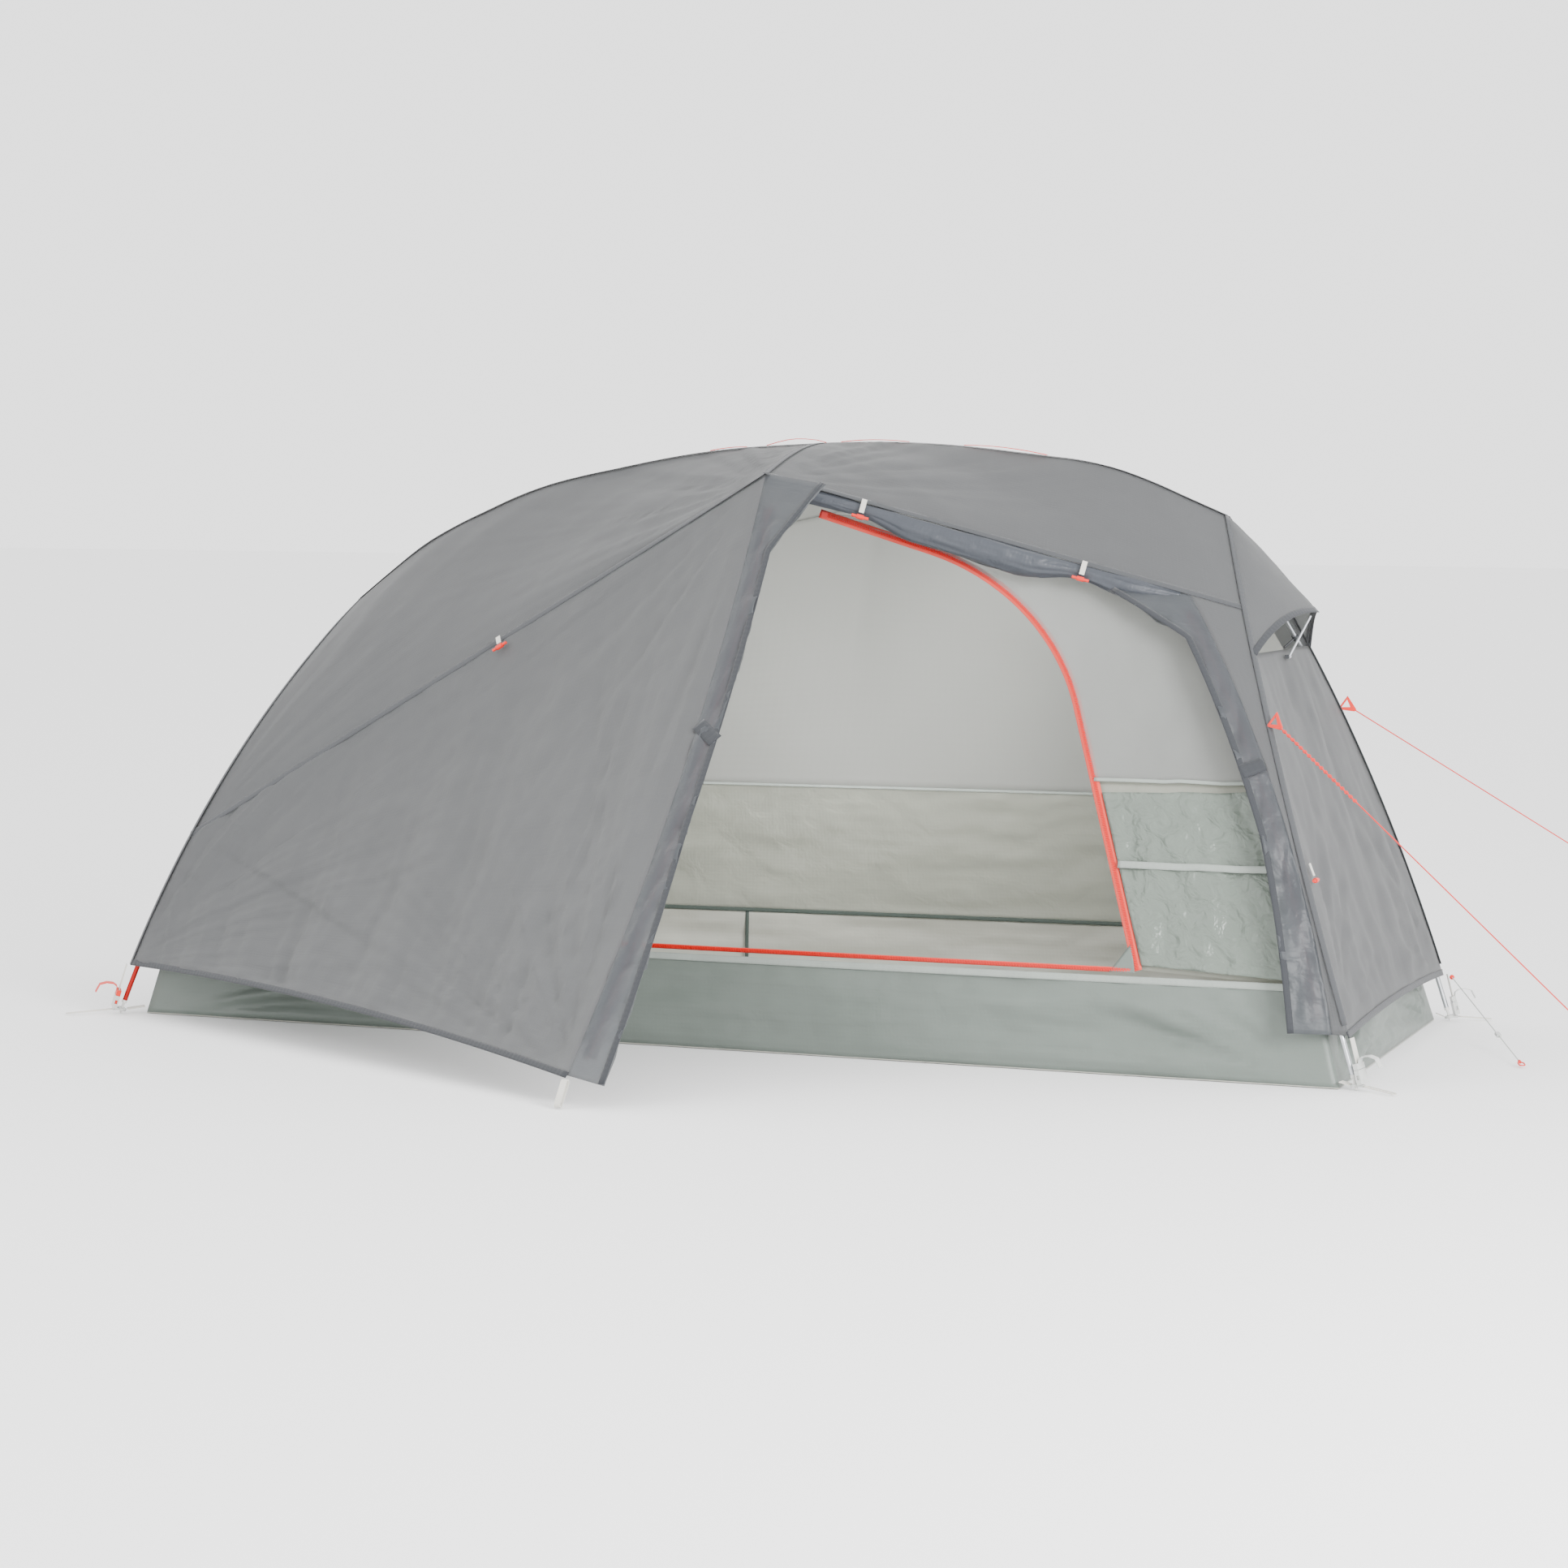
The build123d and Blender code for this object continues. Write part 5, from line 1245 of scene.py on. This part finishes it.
@dataclass
class InnerTent:
    """The hung inner tent: floor, tub, mesh and cloth walls, ceiling, door zips and pocket."""

    layout: Layout
    workshop: Workshop
    tub_bow: float = 0.026
    zip_shares: tuple[tuple[float, float], ...] = ((0.1095, 0.018), (0.6215, 0.180), (0.6995, 0.981))
    zip_radius: float = 0.373
    hinge_foot_x: float = -0.740
    zip_above_tub: float = 0.013
    pocket_top: float = 0.485

    def __post_init__(self) -> None:
        """Lay out the inner tent's borders."""
        lay, off = self.layout, -self.layout.inner_off
        self.tub_top = {(e, s): lay.leg_piece(e, s, off, RIDGE, lay.tub_height)(1) for e in End for s in Side}
        self.hang = {e: lay.leg_line(e, Side.NEAR, off)(0) for e in End}
        self.edge = {s: bowed(self.tub_top[End.FOOT, s], self.tub_top[End.HEAD, s], self.tub_bow,
                              Vector((0, s.value, 0))) for s in Side}
        self.brow_point = lay.brow_line(Side.NEAR, -0.026)(1) + Vector((0, 0.006, -0.010))
        near = self.edge[Side.NEAR]
        foot = share_where(near, lambda p: p.x >= lay.brow_x)
        wall = patch(straight(self.brow_point, self.hang[End.HEAD]), stretch(near, foot, 1.0),
                     straight(self.brow_point, near(foot)),
                     lay.leg_piece(End.HEAD, Side.NEAR, off, RIDGE, lay.tub_height))
        self.zip_start, self.zip_corner, self.zip_end = [wall(*share) for share in self.zip_shares]
        self.door = self.door_curve()
        self.hinge_top = self.brow_point + Vector((-0.018, 0, -0.014))
        self.hinge_foot = self.near_wall(self.hinge_foot_x, lay.tub_height + self.zip_above_tub)

    def near_wall(self, x: float, z: float) -> Vector:
        """Point on the flat of the door wall."""
        edge = self.edge[Side.NEAR]
        foot = edge(share_where(edge, lambda p: p.x >= x))
        low = self.layout.tub_height
        y = foot.y + (self.brow_point.y - foot.y) * (z - low) / (self.brow_point.z - low)
        return Vector((x, y, z))

    def door_curve(self) -> Curve:
        """The door's curved zip: a straight top, one round bend and a straight side."""
        a, c, b = self.zip_start, self.zip_corner, self.zip_end
        to_a, to_b = (a - c).normalized(), (b - c).normalized()
        half = to_a.angle(to_b) / 2
        cut = self.zip_radius / math.tan(half)
        p, q = c + to_a * cut, c + to_b * cut
        centre = c + (to_a + to_b).normalized() * (self.zip_radius / math.sin(half))
        bend = arc(p, centre + (c - centre).normalized() * self.zip_radius, q)
        runs = [(p - a).length, length_of(bend), (b - q).length]
        total = sum(runs)
        s1, s2 = runs[0] / total, (runs[0] + runs[1]) / total

        def at(t: float) -> Vector:
            """Point at share t of the zip's length."""
            if t <= s1:
                return lerp(a, p, t / s1)
            if t <= s2:
                return bend((t - s1) / (s2 - s1))
            return lerp(q, b, (t - s2) / (1 - s2))
        return at

    def eave(self, side: Side) -> Curve:
        """Line from the foot hub over the brow pole's end to the head hub."""
        point = self.brow_point if side is Side.NEAR else flip(self.brow_point)
        return lambda u: (lerp(self.hang[End.FOOT], point, 2 * u) if u < 0.5
                          else lerp(point, self.hang[End.HEAD], 2 * u - 1))

    def tub(self) -> None:
        """Floor sheet and the four tub walls."""
        lay = self.layout
        rise = UP * 0.0022
        corner = lay.floor_corner
        walls = [("near", self.edge[Side.NEAR], corner[End.FOOT, Side.NEAR], corner[End.HEAD, Side.NEAR]),
                 ("far", self.edge[Side.FAR], corner[End.FOOT, Side.FAR], corner[End.HEAD, Side.FAR]),
                 ("head", straight(self.tub_top[End.HEAD, Side.NEAR], self.tub_top[End.HEAD, Side.FAR]),
                  corner[End.HEAD, Side.NEAR], corner[End.HEAD, Side.FAR]),
                 ("foot", straight(self.tub_top[End.FOOT, Side.NEAR], self.tub_top[End.FOOT, Side.FAR]),
                  corner[End.FOOT, Side.NEAR], corner[End.FOOT, Side.FAR])]
        for name, top, a, b in walls:
            surface = patch(top, straight(a + rise, b + rise), straight(top(0), a + rise), straight(top(1), b + rise))
            way = (b - a).normalized()
            folds = [Ripples(way, UP, 0.045, 0.020, stretch=7, fade_v=(0.3, 0.2), seed=len(name) + 1.0),
                     Belly(0.008), Pull(a, (top(0.3) - a).normalized(), 0.30, 0.07, 9, 1.0, 0.2),
                     Pull(b, (top(0.7) - b).normalized(), 0.30, 0.07, 9, 2.0, 0.2), Crumple(0.03, 0.0022)]
            piece = Panel(f"tub_wall_{name}", surface, 20, 150 if name in ("near", "far") else 70, folds,
                          edge=0.12, second=True).build()
            self.workshop.dress(piece, Wardrobe.tub, Wardrobe.tub_inside, replaces=["bathtub_walls"])
        floor = patch(straight(corner[End.FOOT, Side.FAR] + rise, corner[End.HEAD, Side.FAR] + rise),
                      straight(corner[End.FOOT, Side.NEAR] + rise, corner[End.HEAD, Side.NEAR] + rise),
                      straight(corner[End.FOOT, Side.FAR] + rise, corner[End.FOOT, Side.NEAR] + rise),
                      straight(corner[End.HEAD, Side.FAR] + rise, corner[End.HEAD, Side.NEAR] + rise))
        folds = [Crumple(0.09, 0.0016)]
        piece = Panel("tub_floor", floor, 50, 110, folds, thickness=0.0018, inside=Vector((0, 0, -1)),
                      second=True).build()
        self.workshop.dress(piece, Wardrobe.tub_inside, Wardrobe.tub, replaces=["floor"])
        side_out = Vector((0, -1, 0.1))
        tape = seam_on("tub_tape_far", lambda t: self.edge[Side.FAR](t) + Vector((0, -0.0035, 0)), 0.007,
                       lambda t: side_out, steps=90)
        self.workshop.dress(tape, Wardrobe.green_tape)
        post = straight(Vector((-0.21, self.edge[Side.FAR](0.42).y - 0.004, 0.155)), Vector((-0.212, 0.4, 0.004)))
        self.workshop.dress(seam_on("tub_tape_upright", post, 0.007, lambda t: side_out, steps=12),
                            Wardrobe.green_tape)
        near = seam_on("tub_tape_near", self.edge[Side.NEAR], 0.012, lambda t: Vector((0, -1, 0.2)), steps=90)
        self.workshop.dress(near, Wardrobe.pale_tape)

    def walls(self) -> None:
        """Mesh and cloth walls of the far side and the two ends."""
        lay, off = self.layout, -self.layout.inner_off
        far = Side.FAR
        low_line = bowed(lay.leg_piece(End.FOOT, far, off, RIDGE, lay.low_wall_top)(1),
                         lay.leg_piece(End.HEAD, far, off, RIDGE, lay.low_wall_top)(1),
                         self.tub_bow / 2, Vector((0, 1, 0)))
        low = patch(low_line, self.edge[far], lay.leg_piece(End.FOOT, far, off, lay.low_wall_top, lay.tub_height),
                    lay.leg_piece(End.HEAD, far, off, lay.low_wall_top, lay.tub_height))
        folds = [Ripples(Vector((0.9, 0, 0.4)).normalized(), UP, 0.05, 0.006, stretch=4, seed=1.0),
                 Crumple(0.035, 0.0022)]
        self.workshop.dress(Panel("low_wall_far", low, 34, 130, folds).build(), Wardrobe.taupe,
                            replaces=["inner_low_wall_far"])
        mesh = patch(self.eave(far), low_line, lay.leg_piece(End.FOOT, far, off, RIDGE, lay.low_wall_top),
                     lay.leg_piece(End.HEAD, far, off, RIDGE, lay.low_wall_top))
        self.workshop.dress(Panel("mesh_wall_far", mesh, 40, 110, [Belly(-0.004), Crumple(0.12, 0.003)]).build(),
                            Wardrobe.mesh, replaces=["inner_mesh_wall_far"])
        seam = seam_on("mesh_seam_far", lambda t: low_line(t) + Vector((0, -0.003, 0)), 0.005,
                       lambda t: Vector((0, -1, 0.2)), steps=80)
        self.workshop.dress(seam, Wardrobe.pale_tape)
        for end in End:
            legs = lay.leg_piece(end, Side.NEAR, off, RIDGE, lay.tub_height)
            top = self.hang[end]
            wall = patch(lambda u: top, straight(self.tub_top[end, Side.NEAR], self.tub_top[end, Side.FAR]),
                         legs, mirrored(legs))
            self.workshop.dress(Panel(f"end_wall_{end.name.lower()}", wall, 50, 44,
                                      [Belly(-0.004), Crumple(0.06, 0.002)]).build(),
                                Wardrobe.mesh, replaces=["inner_end_walls"])

    def ceiling(self) -> None:
        """Mesh ceiling on both sides of the ridge."""
        lay = self.layout
        ridge = lambda t: lay.ridge(t, -lay.inner_off)
        brow_inner = bowed(ridge(lay.brow_share), self.brow_point, 0.008, UP)
        foot_hub, head_hub = self.hang[End.FOOT], self.hang[End.HEAD]
        foot = patch(stretch(ridge, 0.0, lay.brow_share), straight(foot_hub, self.brow_point),
                     lambda v: foot_hub, brow_inner)
        head = patch(stretch(ridge, lay.brow_share, 1.0), straight(self.brow_point, head_hub),
                     brow_inner, lambda v: head_hub)
        for side in Side:
            for name, half in (("foot", foot), ("head", head)):
                surface = half if side is Side.NEAR else (lambda u, v, h=half: flip(h(u, v)))
                self.workshop.dress(Panel(f"ceiling_{name}_{side.name.lower()}", surface, 24, 50,
                                          [Crumple(0.08, 0.002)]).build(), Wardrobe.mesh, replaces=["inner_ceiling"])

    def door_wall(self) -> None:
        """The door side's fixed walls, the pocket and the door's zips."""
        lay, off = self.layout, -self.layout.inner_off
        edge = self.edge[Side.NEAR]
        zip_share = share_where(edge, lambda p: p.x >= self.zip_end.x)
        leg = lay.leg_piece(End.HEAD, Side.NEAR, off, RIDGE, lay.tub_height)
        head = patch(straight(self.zip_start + Vector((0.006, 0, 0.008)), self.hang[End.HEAD]),
                     stretch(edge, zip_share, 1.0), self.door, leg)
        spans = 12
        split = [share_where(lambda v: head(i / spans, v), lambda p: p.z <= self.pocket_top)
                 for i in range(spans + 1)]

        def level(u: float) -> float:
            """Share down the wall at which its cloth part starts, read between the sampled shares."""
            first = min(int(u * spans), spans - 1)
            return split[first] + (split[first + 1] - split[first]) * (u * spans - first)

        low_wall = lambda u, v: head(u, level(u) + (1 - level(u)) * v) + Vector((0, 0.012, 0))
        self.workshop.dress(Panel("door_wall_head", lambda u, v: head(u, v * level(u)), 50, 50,
                                  [Crumple(0.07, 0.003)]).build(), Wardrobe.near_mesh, replaces=["inner_door_walls"])
        self.workshop.dress(Panel("door_wall_low", low_wall, 30, 50, [Crumple(0.05, 0.003)]).build(),
                            Wardrobe.taupe, replaces=["inner_door_walls"])
        line = lambda t: head(t, level(t)) + Vector((0, -0.001, 0))
        self.workshop.dress(seam_on("door_wall_seam", line, 0.006, lambda t: Vector((0, -1, 0.2)), steps=40),
                            Wardrobe.pale_tape)
        foot_share = share_where(edge, lambda p: p.x >= self.hinge_foot.x)
        leg = lay.leg_piece(End.FOOT, Side.NEAR, off, RIDGE, lay.tub_height)
        foot = patch(straight(self.hang[End.FOOT], self.hinge_top), stretch(edge, 0.0, foot_share), leg,
                     straight(self.hinge_top, self.hinge_foot))
        self.workshop.dress(Panel("door_wall_foot", foot, 50, 40, [Crumple(0.07, 0.002)]).build(),
                            Wardrobe.near_mesh, replaces=["inner_door_walls"])
        inset = Vector((0, -0.001, 0))
        pocket = lambda u, v: head(0.03 + 0.93 * u, level(u) + 0.02 + (0.97 - level(u)) * v) + inset
        folds = [Ripples(Vector((0.5, 0, -0.85)), Vector((0.85, 0, 0.5)), 0.03, 0.006, stretch=4, seed=2.0),
                 Ripples(UP, Vector((1, 0, 0)), 0.05, 0.006, stretch=5, seed=6.0), Crumple(0.022, 0.0016)]
        self.workshop.dress(Panel("wall_pocket", pocket, 60, 60, folds).build(), Wardrobe.pocket,
                            replaces=["wall_pocket"])
        out = Vector((0.1, -1, 0.25)).normalized()
        band = lambda t: pocket(t, 0.42) + Vector((0, -0.004, 0))
        self.workshop.dress(seam_on("pocket_band", band, 0.012, lambda t: out, steps=40), Wardrobe.pale_tape)
        tip = self.zip_end + Vector((-0.004, -0.003, -0.004))
        above, beside = self.door(0.955), tip + Vector((-0.045, 0.003, 0.0))
        corner = patch(straight(above, tip), straight(beside, tip), straight(above, beside), lambda v: tip)
        self.workshop.dress(Panel("zip_corner_patch", corner, 8, 8).build(), Wardrobe.tub)
        self.workshop.dress(ZipCoil("door_zip_arc", self.door, lambda t: out).build(), Wardrobe.coil,
                            replaces=["inner_zip_coils"])
        inner_shift = lambda t: square_to(tangent(self.door, t), out).cross(tangent(self.door, t))
        self.workshop.dress(Ribbon("door_zip_tape", self.door, inner_shift, 0.0155, lambda t: out * -0.0016,
                                   steps=110).build(), Wardrobe.zip_tape)
        low = straight(self.hinge_foot + Vector((0.010, 0, 0)), self.zip_end - Vector((0.012, 0, 0)))
        self.workshop.dress(ZipCoil("door_zip_foot", low, lambda t: out).build(), Wardrobe.coil,
                            replaces=["inner_zip_coils"])
        self.workshop.dress(Ribbon("door_zip_foot_tape", low, lambda t: square_to(tangent(low, t), UP), 0.0085,
                                   lambda t: out * -0.0016, steps=60).build(), Wardrobe.zip_tape)
        self.inner_roll()

    def inner_roll(self) -> None:
        """The inner door rolled back along its hinge line."""
        way = (self.hinge_foot - self.hinge_top).normalized()
        shift = Vector((0, 0.034, 0))
        a, b = self.hinge_top + way * 0.040 + shift, self.hinge_foot - way * 0.060 + shift
        side = square_to(way, Vector((0, 1, 0)))
        other = way.cross(side)
        bm = bmesh.new()
        bmesh.ops.create_grid(bm, x_segments=90, y_segments=28, size=0.5)
        layer = bm.loops.layers.uv.new("cloth")
        for face in bm.faces:
            for loop in face.loops:
                loop[layer].uv = ((loop.vert.co.x + 0.5), (loop.vert.co.y + 0.5) * 0.13)
        for vert in bm.verts:
            t, turn = vert.co.x + 0.5, (vert.co.y + 0.5) * 2 * math.pi
            direction = Vector((math.cos(turn), math.sin(turn), t * 7))
            r = 0.0195 * (1 + 0.12 * noise.noise(direction * 1.7)) * min(1.0, 0.55 + 6 * min(t, 1 - t))
            vert.co = lerp(a, b, t) + side * (math.cos(turn) * r) + other * (math.sin(turn) * r)
        bmesh.ops.remove_doubles(bm, verts=bm.verts, dist=0.0002)
        bmesh.ops.holes_fill(bm, edges=[e for e in bm.edges if e.is_boundary], sides=0)
        bmesh.ops.recalc_face_normals(bm, faces=bm.faces)
        self.workshop.dress(new_piece("inner_door_roll", bm), Wardrobe.mesh, replaces=["rolled_inner_door"])

    def build(self) -> None:
        """Build and dress the inner tent."""
        self.tub()
        self.walls()
        self.ceiling()
        self.door_wall()


def rod_ends(node: str) -> tuple[Vector, Vector]:
    """Middles of the upper and the lower end of a straight packed rod."""
    places = [v.co for v in bpy.data.objects[node].data.vertices]
    top = max(places, key=lambda p: (p - places[0]).length)
    low = max(places, key=lambda p: (p - top).length)
    way = (low - top).normalized()
    ends = []
    for tip in (top, low):
        cap = [p for p in places if abs((p - tip).dot(way)) < 0.0002]
        ends.append(sum(cap, Vector()) / len(cap))
    return tuple(sorted(ends, key=lambda p: -p.z))


@dataclass
class Guylines:
    """Taut cords from the head legs and the far corner."""

    workshop: Workshop
    cord: float = 0.0022
    thin_cord: float = 0.0018
    chain_width: float = 0.0064

    def __post_init__(self) -> None:
        """Take every cord's ends from its packed rod."""
        self.near_start, chain_end = rod_ends("guyline_near_chain")
        self.chain_length = (chain_end - self.near_start).length
        self.near_end = rod_ends("guyline_near")[1]
        self.far_start, self.far_end = rod_ends("guyline_far")
        self.corner_start, self.corner_end = rod_ends("corner_guyline")

    def line(self, name: str, a: Vector, b: Vector, width: float, finish: Finish,
             replaces: Sequence[str], pieces: Sequence[str | bpy.types.Object]) -> bpy.types.Object:
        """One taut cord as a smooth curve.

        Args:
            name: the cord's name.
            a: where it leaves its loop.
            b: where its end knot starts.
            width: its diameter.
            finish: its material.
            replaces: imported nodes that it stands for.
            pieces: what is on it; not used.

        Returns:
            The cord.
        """
        data = bpy.data.curves.new(name, "CURVE")
        data.dimensions = "3D"
        data.bevel_depth = width / 2
        data.bevel_resolution = 3
        data.resolution_u = 6
        data.use_fill_caps = True
        route = [a, lerp(a, b, 0.02), b]
        spline = data.splines.new("NURBS")
        spline.points.add(len(route) - 1)
        for point, place in zip(spline.points, route):
            point.co = (*place, 1)
        spline.order_u = 3
        spline.use_endpoint_u = True
        piece = bpy.data.objects.new(name, data)
        bpy.context.scene.collection.objects.link(piece)
        self.workshop.dress(piece, finish, replaces=replaces)
        return piece

    def chain(self) -> bpy.types.Object:
        """Spare cord chained up on the near guyline: a row of leaning loops."""
        way = (self.near_end - self.near_start).normalized()
        side = square_to(way, UP)
        other = way.cross(side)
        pitch = 0.0062
        bm = bmesh.new()
        for i in range(int(self.chain_length / pitch)):
            centre = self.near_start + way * (pitch * (i + 0.5))
            lean = 0.62 if i % 2 else -0.62
            axis = (side * math.cos(lean) + other * math.sin(lean)).normalized()
            ring = bmesh.ops.create_circle(bm, segments=6, radius=self.cord * 0.42)
            turn = Matrix.Rotation(math.pi / 2, 4, "X")
            bmesh.ops.transform(bm, matrix=Matrix.Translation((self.chain_width * 0.36, 0, 0)) @ turn,
                                verts=ring["verts"])
            edges = list({e for v in ring["verts"] for e in v.link_edges})
            bmesh.ops.spin(bm, geom=ring["verts"] + edges, cent=(0, 0, 0), axis=(0, 0, 1),
                           angle=2 * math.pi, steps=12, use_merge=True, use_duplicate=False)
            fresh = [v for v in bm.verts if v.tag is False]
            binormal = axis.cross(way).normalized()
            place = Matrix((way * 1.5, binormal, axis)).transposed().to_4x4()
            bmesh.ops.transform(bm, matrix=Matrix.Translation(centre) @ place, verts=fresh)
            for vert in bm.verts:
                vert.tag = True
        bmesh.ops.recalc_face_normals(bm, faces=bm.faces)
        piece = new_piece("guyline_chain", bm)
        return self.workshop.dress(piece, Wardrobe.red_cord, replaces=["guyline_near_chain"])

    def build(self) -> None:
        """Build the three cords and the chained length."""
        chain = self.chain()
        self.line("guyline_near_cord", self.near_start, self.near_end, self.cord, Wardrobe.red_cord,
                  ["guyline_near"], [chain])
        self.line("guyline_far_cord", self.far_start, self.far_end, self.cord, Wardrobe.red_cord,
                  ["guyline_far"], [])
        self.line("guyline_corner_cord", self.corner_start, self.corner_end, self.thin_cord, Wardrobe.grey_cord,
                  ["corner_guyline"], ["corner_guy_adjuster"])


@dataclass
class Hardware:
    """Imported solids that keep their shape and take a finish."""

    workshop: Workshop

    def build(self) -> None:
        """Dress poles, hubs, clips, buckles, toggles, sliders, straps and loops."""
        w = self.workshop
        w.repaint(Wardrobe.silver, "head_leg_poles", "spine_pole_tubes", "brow_pole", "pole_ferrules", "vent_prop")
        w.repaint(Wardrobe.red_tube, "foot_leg_poles")
        w.repaint(Wardrobe.dark, "head_hub", "foot_hub", "brow_swivel_clip", "brow_pole_caps", "pole_clips",
                  "vent_prop_pin")
        w.repaint(Wardrobe.tip, "pole_tips")
        w.repaint(Wardrobe.buckle, "corner_sockets", "buckle_plug_head_near", "buckle_plug_head_far",
                  "corner_guy_adjuster")
        w.repaint(Wardrobe.toggle, "door_toggle_foot", "door_toggle_head", "spare_toggle_head_end",
                  "spare_toggle_vestibule")
        w.repaint(Wardrobe.red_strap, "buckle_plug_foot_near", "buckle_plug_foot_far")
        w.repaint(Wardrobe.slider, "fly_zip_slider_left", "fly_zip_slider_right", "inner_zip_slider_foot",
                  "inner_zip_slider_top")
        w.repaint(Wardrobe.red_webbing, "ridge_webbing", "guy_loops", "guy_end_loops")
        w.repaint(Wardrobe.pale_webbing, "corner_fly_straps", "corner_floor_straps", "stake_loops", "toggle_loops")
        w.repaint(Wardrobe.grey_cord, "shock_cords")


@dataclass(frozen=True)
class Studio:
    """Pale floor, soft light and the camera."""

    place: tuple[float, float, float] = (2.30640566, -6.7928805, 0.94220701)
    forward: tuple[float, float, float] = (-0.32099995, 0.94444325, -0.07061142)
    right: tuple[float, float, float] = (0.94656976, 0.32237947, 0.00878421)
    upward: tuple[float, float, float] = (-0.03105986, 0.0640189, 0.99746522)
    lens: float = 90.43
    sensor: float = 36.0

    def camera(self) -> None:
        """Set the camera at its viewing angle."""
        data = bpy.data.cameras.new("camera")
        data.lens, data.sensor_width = self.lens, self.sensor
        camera = bpy.data.objects.new("camera", data)
        turn = Matrix((Vector(self.right), Vector(self.upward), -Vector(self.forward))).transposed()
        camera.matrix_world = Matrix.Translation(self.place) @ turn.to_4x4()
        bpy.context.scene.collection.objects.link(camera)
        bpy.context.scene.camera = camera

    def area(self, name: str, place: Vector, aim: Vector, size: float, power: float) -> None:
        """One soft area light.

        Args:
            name: the light's name.
            place: where it stands.
            aim: the point that it shines on.
            size: its side in metres.
            power: its power in watts.
        """
        data = bpy.data.lights.new(name, "AREA")
        data.size, data.energy = size, power
        light = bpy.data.objects.new(name, data)
        light.matrix_world = Matrix.Translation(place) @ (aim - place).to_track_quat("-Z", "Y").to_matrix().to_4x4()
        bpy.context.scene.collection.objects.link(light)

    def build(self) -> None:
        """Build the floor, the lights, the world and the camera."""
        self.camera()
        bm = bmesh.new()
        bmesh.ops.create_grid(bm, x_segments=1, y_segments=1, size=60.0)
        floor = new_piece("floor_plane", bm, smooth=False)
        shader = Shader("pale_floor")
        shader.surface.inputs["Base Color"].default_value = (0.93, 0.93, 0.93, 1)
        shader.surface.inputs["Roughness"].default_value = 0.95
        floor.data.materials.append(shader.material)
        floor.data.transform(Matrix.Translation((0, 0, -0.0008)))
        world = bpy.data.worlds.new("studio")
        world.use_nodes = True
        background = world.node_tree.nodes["Background"]
        background.inputs["Color"].default_value = (1, 1, 1, 1)
        background.inputs["Strength"].default_value = 2.3
        bpy.context.scene.world = world
        self.area("key", Vector((4.6, -4.0, 2.2)), Vector((0, 0, 0.5)), 2.2, 520)
        self.area("fill", Vector((-3.5, -5.0, 3.0)), Vector((0, 0, 0.5)), 3.0, 90)
        self.area("inner_glow", Vector((0.15, -0.16, 0.60)), Vector((0.12, 0.6, 0.30)), 0.55, 9.0)


def main() -> None:
    """Load the frame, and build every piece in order."""
    logging.basicConfig(level=logging.INFO, format="%(name)s: %(message)s")
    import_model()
    Studio().build()
    workshop = Workshop(Wardrobe())
    Guylines(workshop).build()
    layout = Layout()
    fly = Fly(layout, workshop)
    fly.build()
    FlyDoor(fly, workshop).build()
    InnerTent(layout, workshop).build()
    Hardware(workshop).build()


if __name__ == "__main__":
    main()
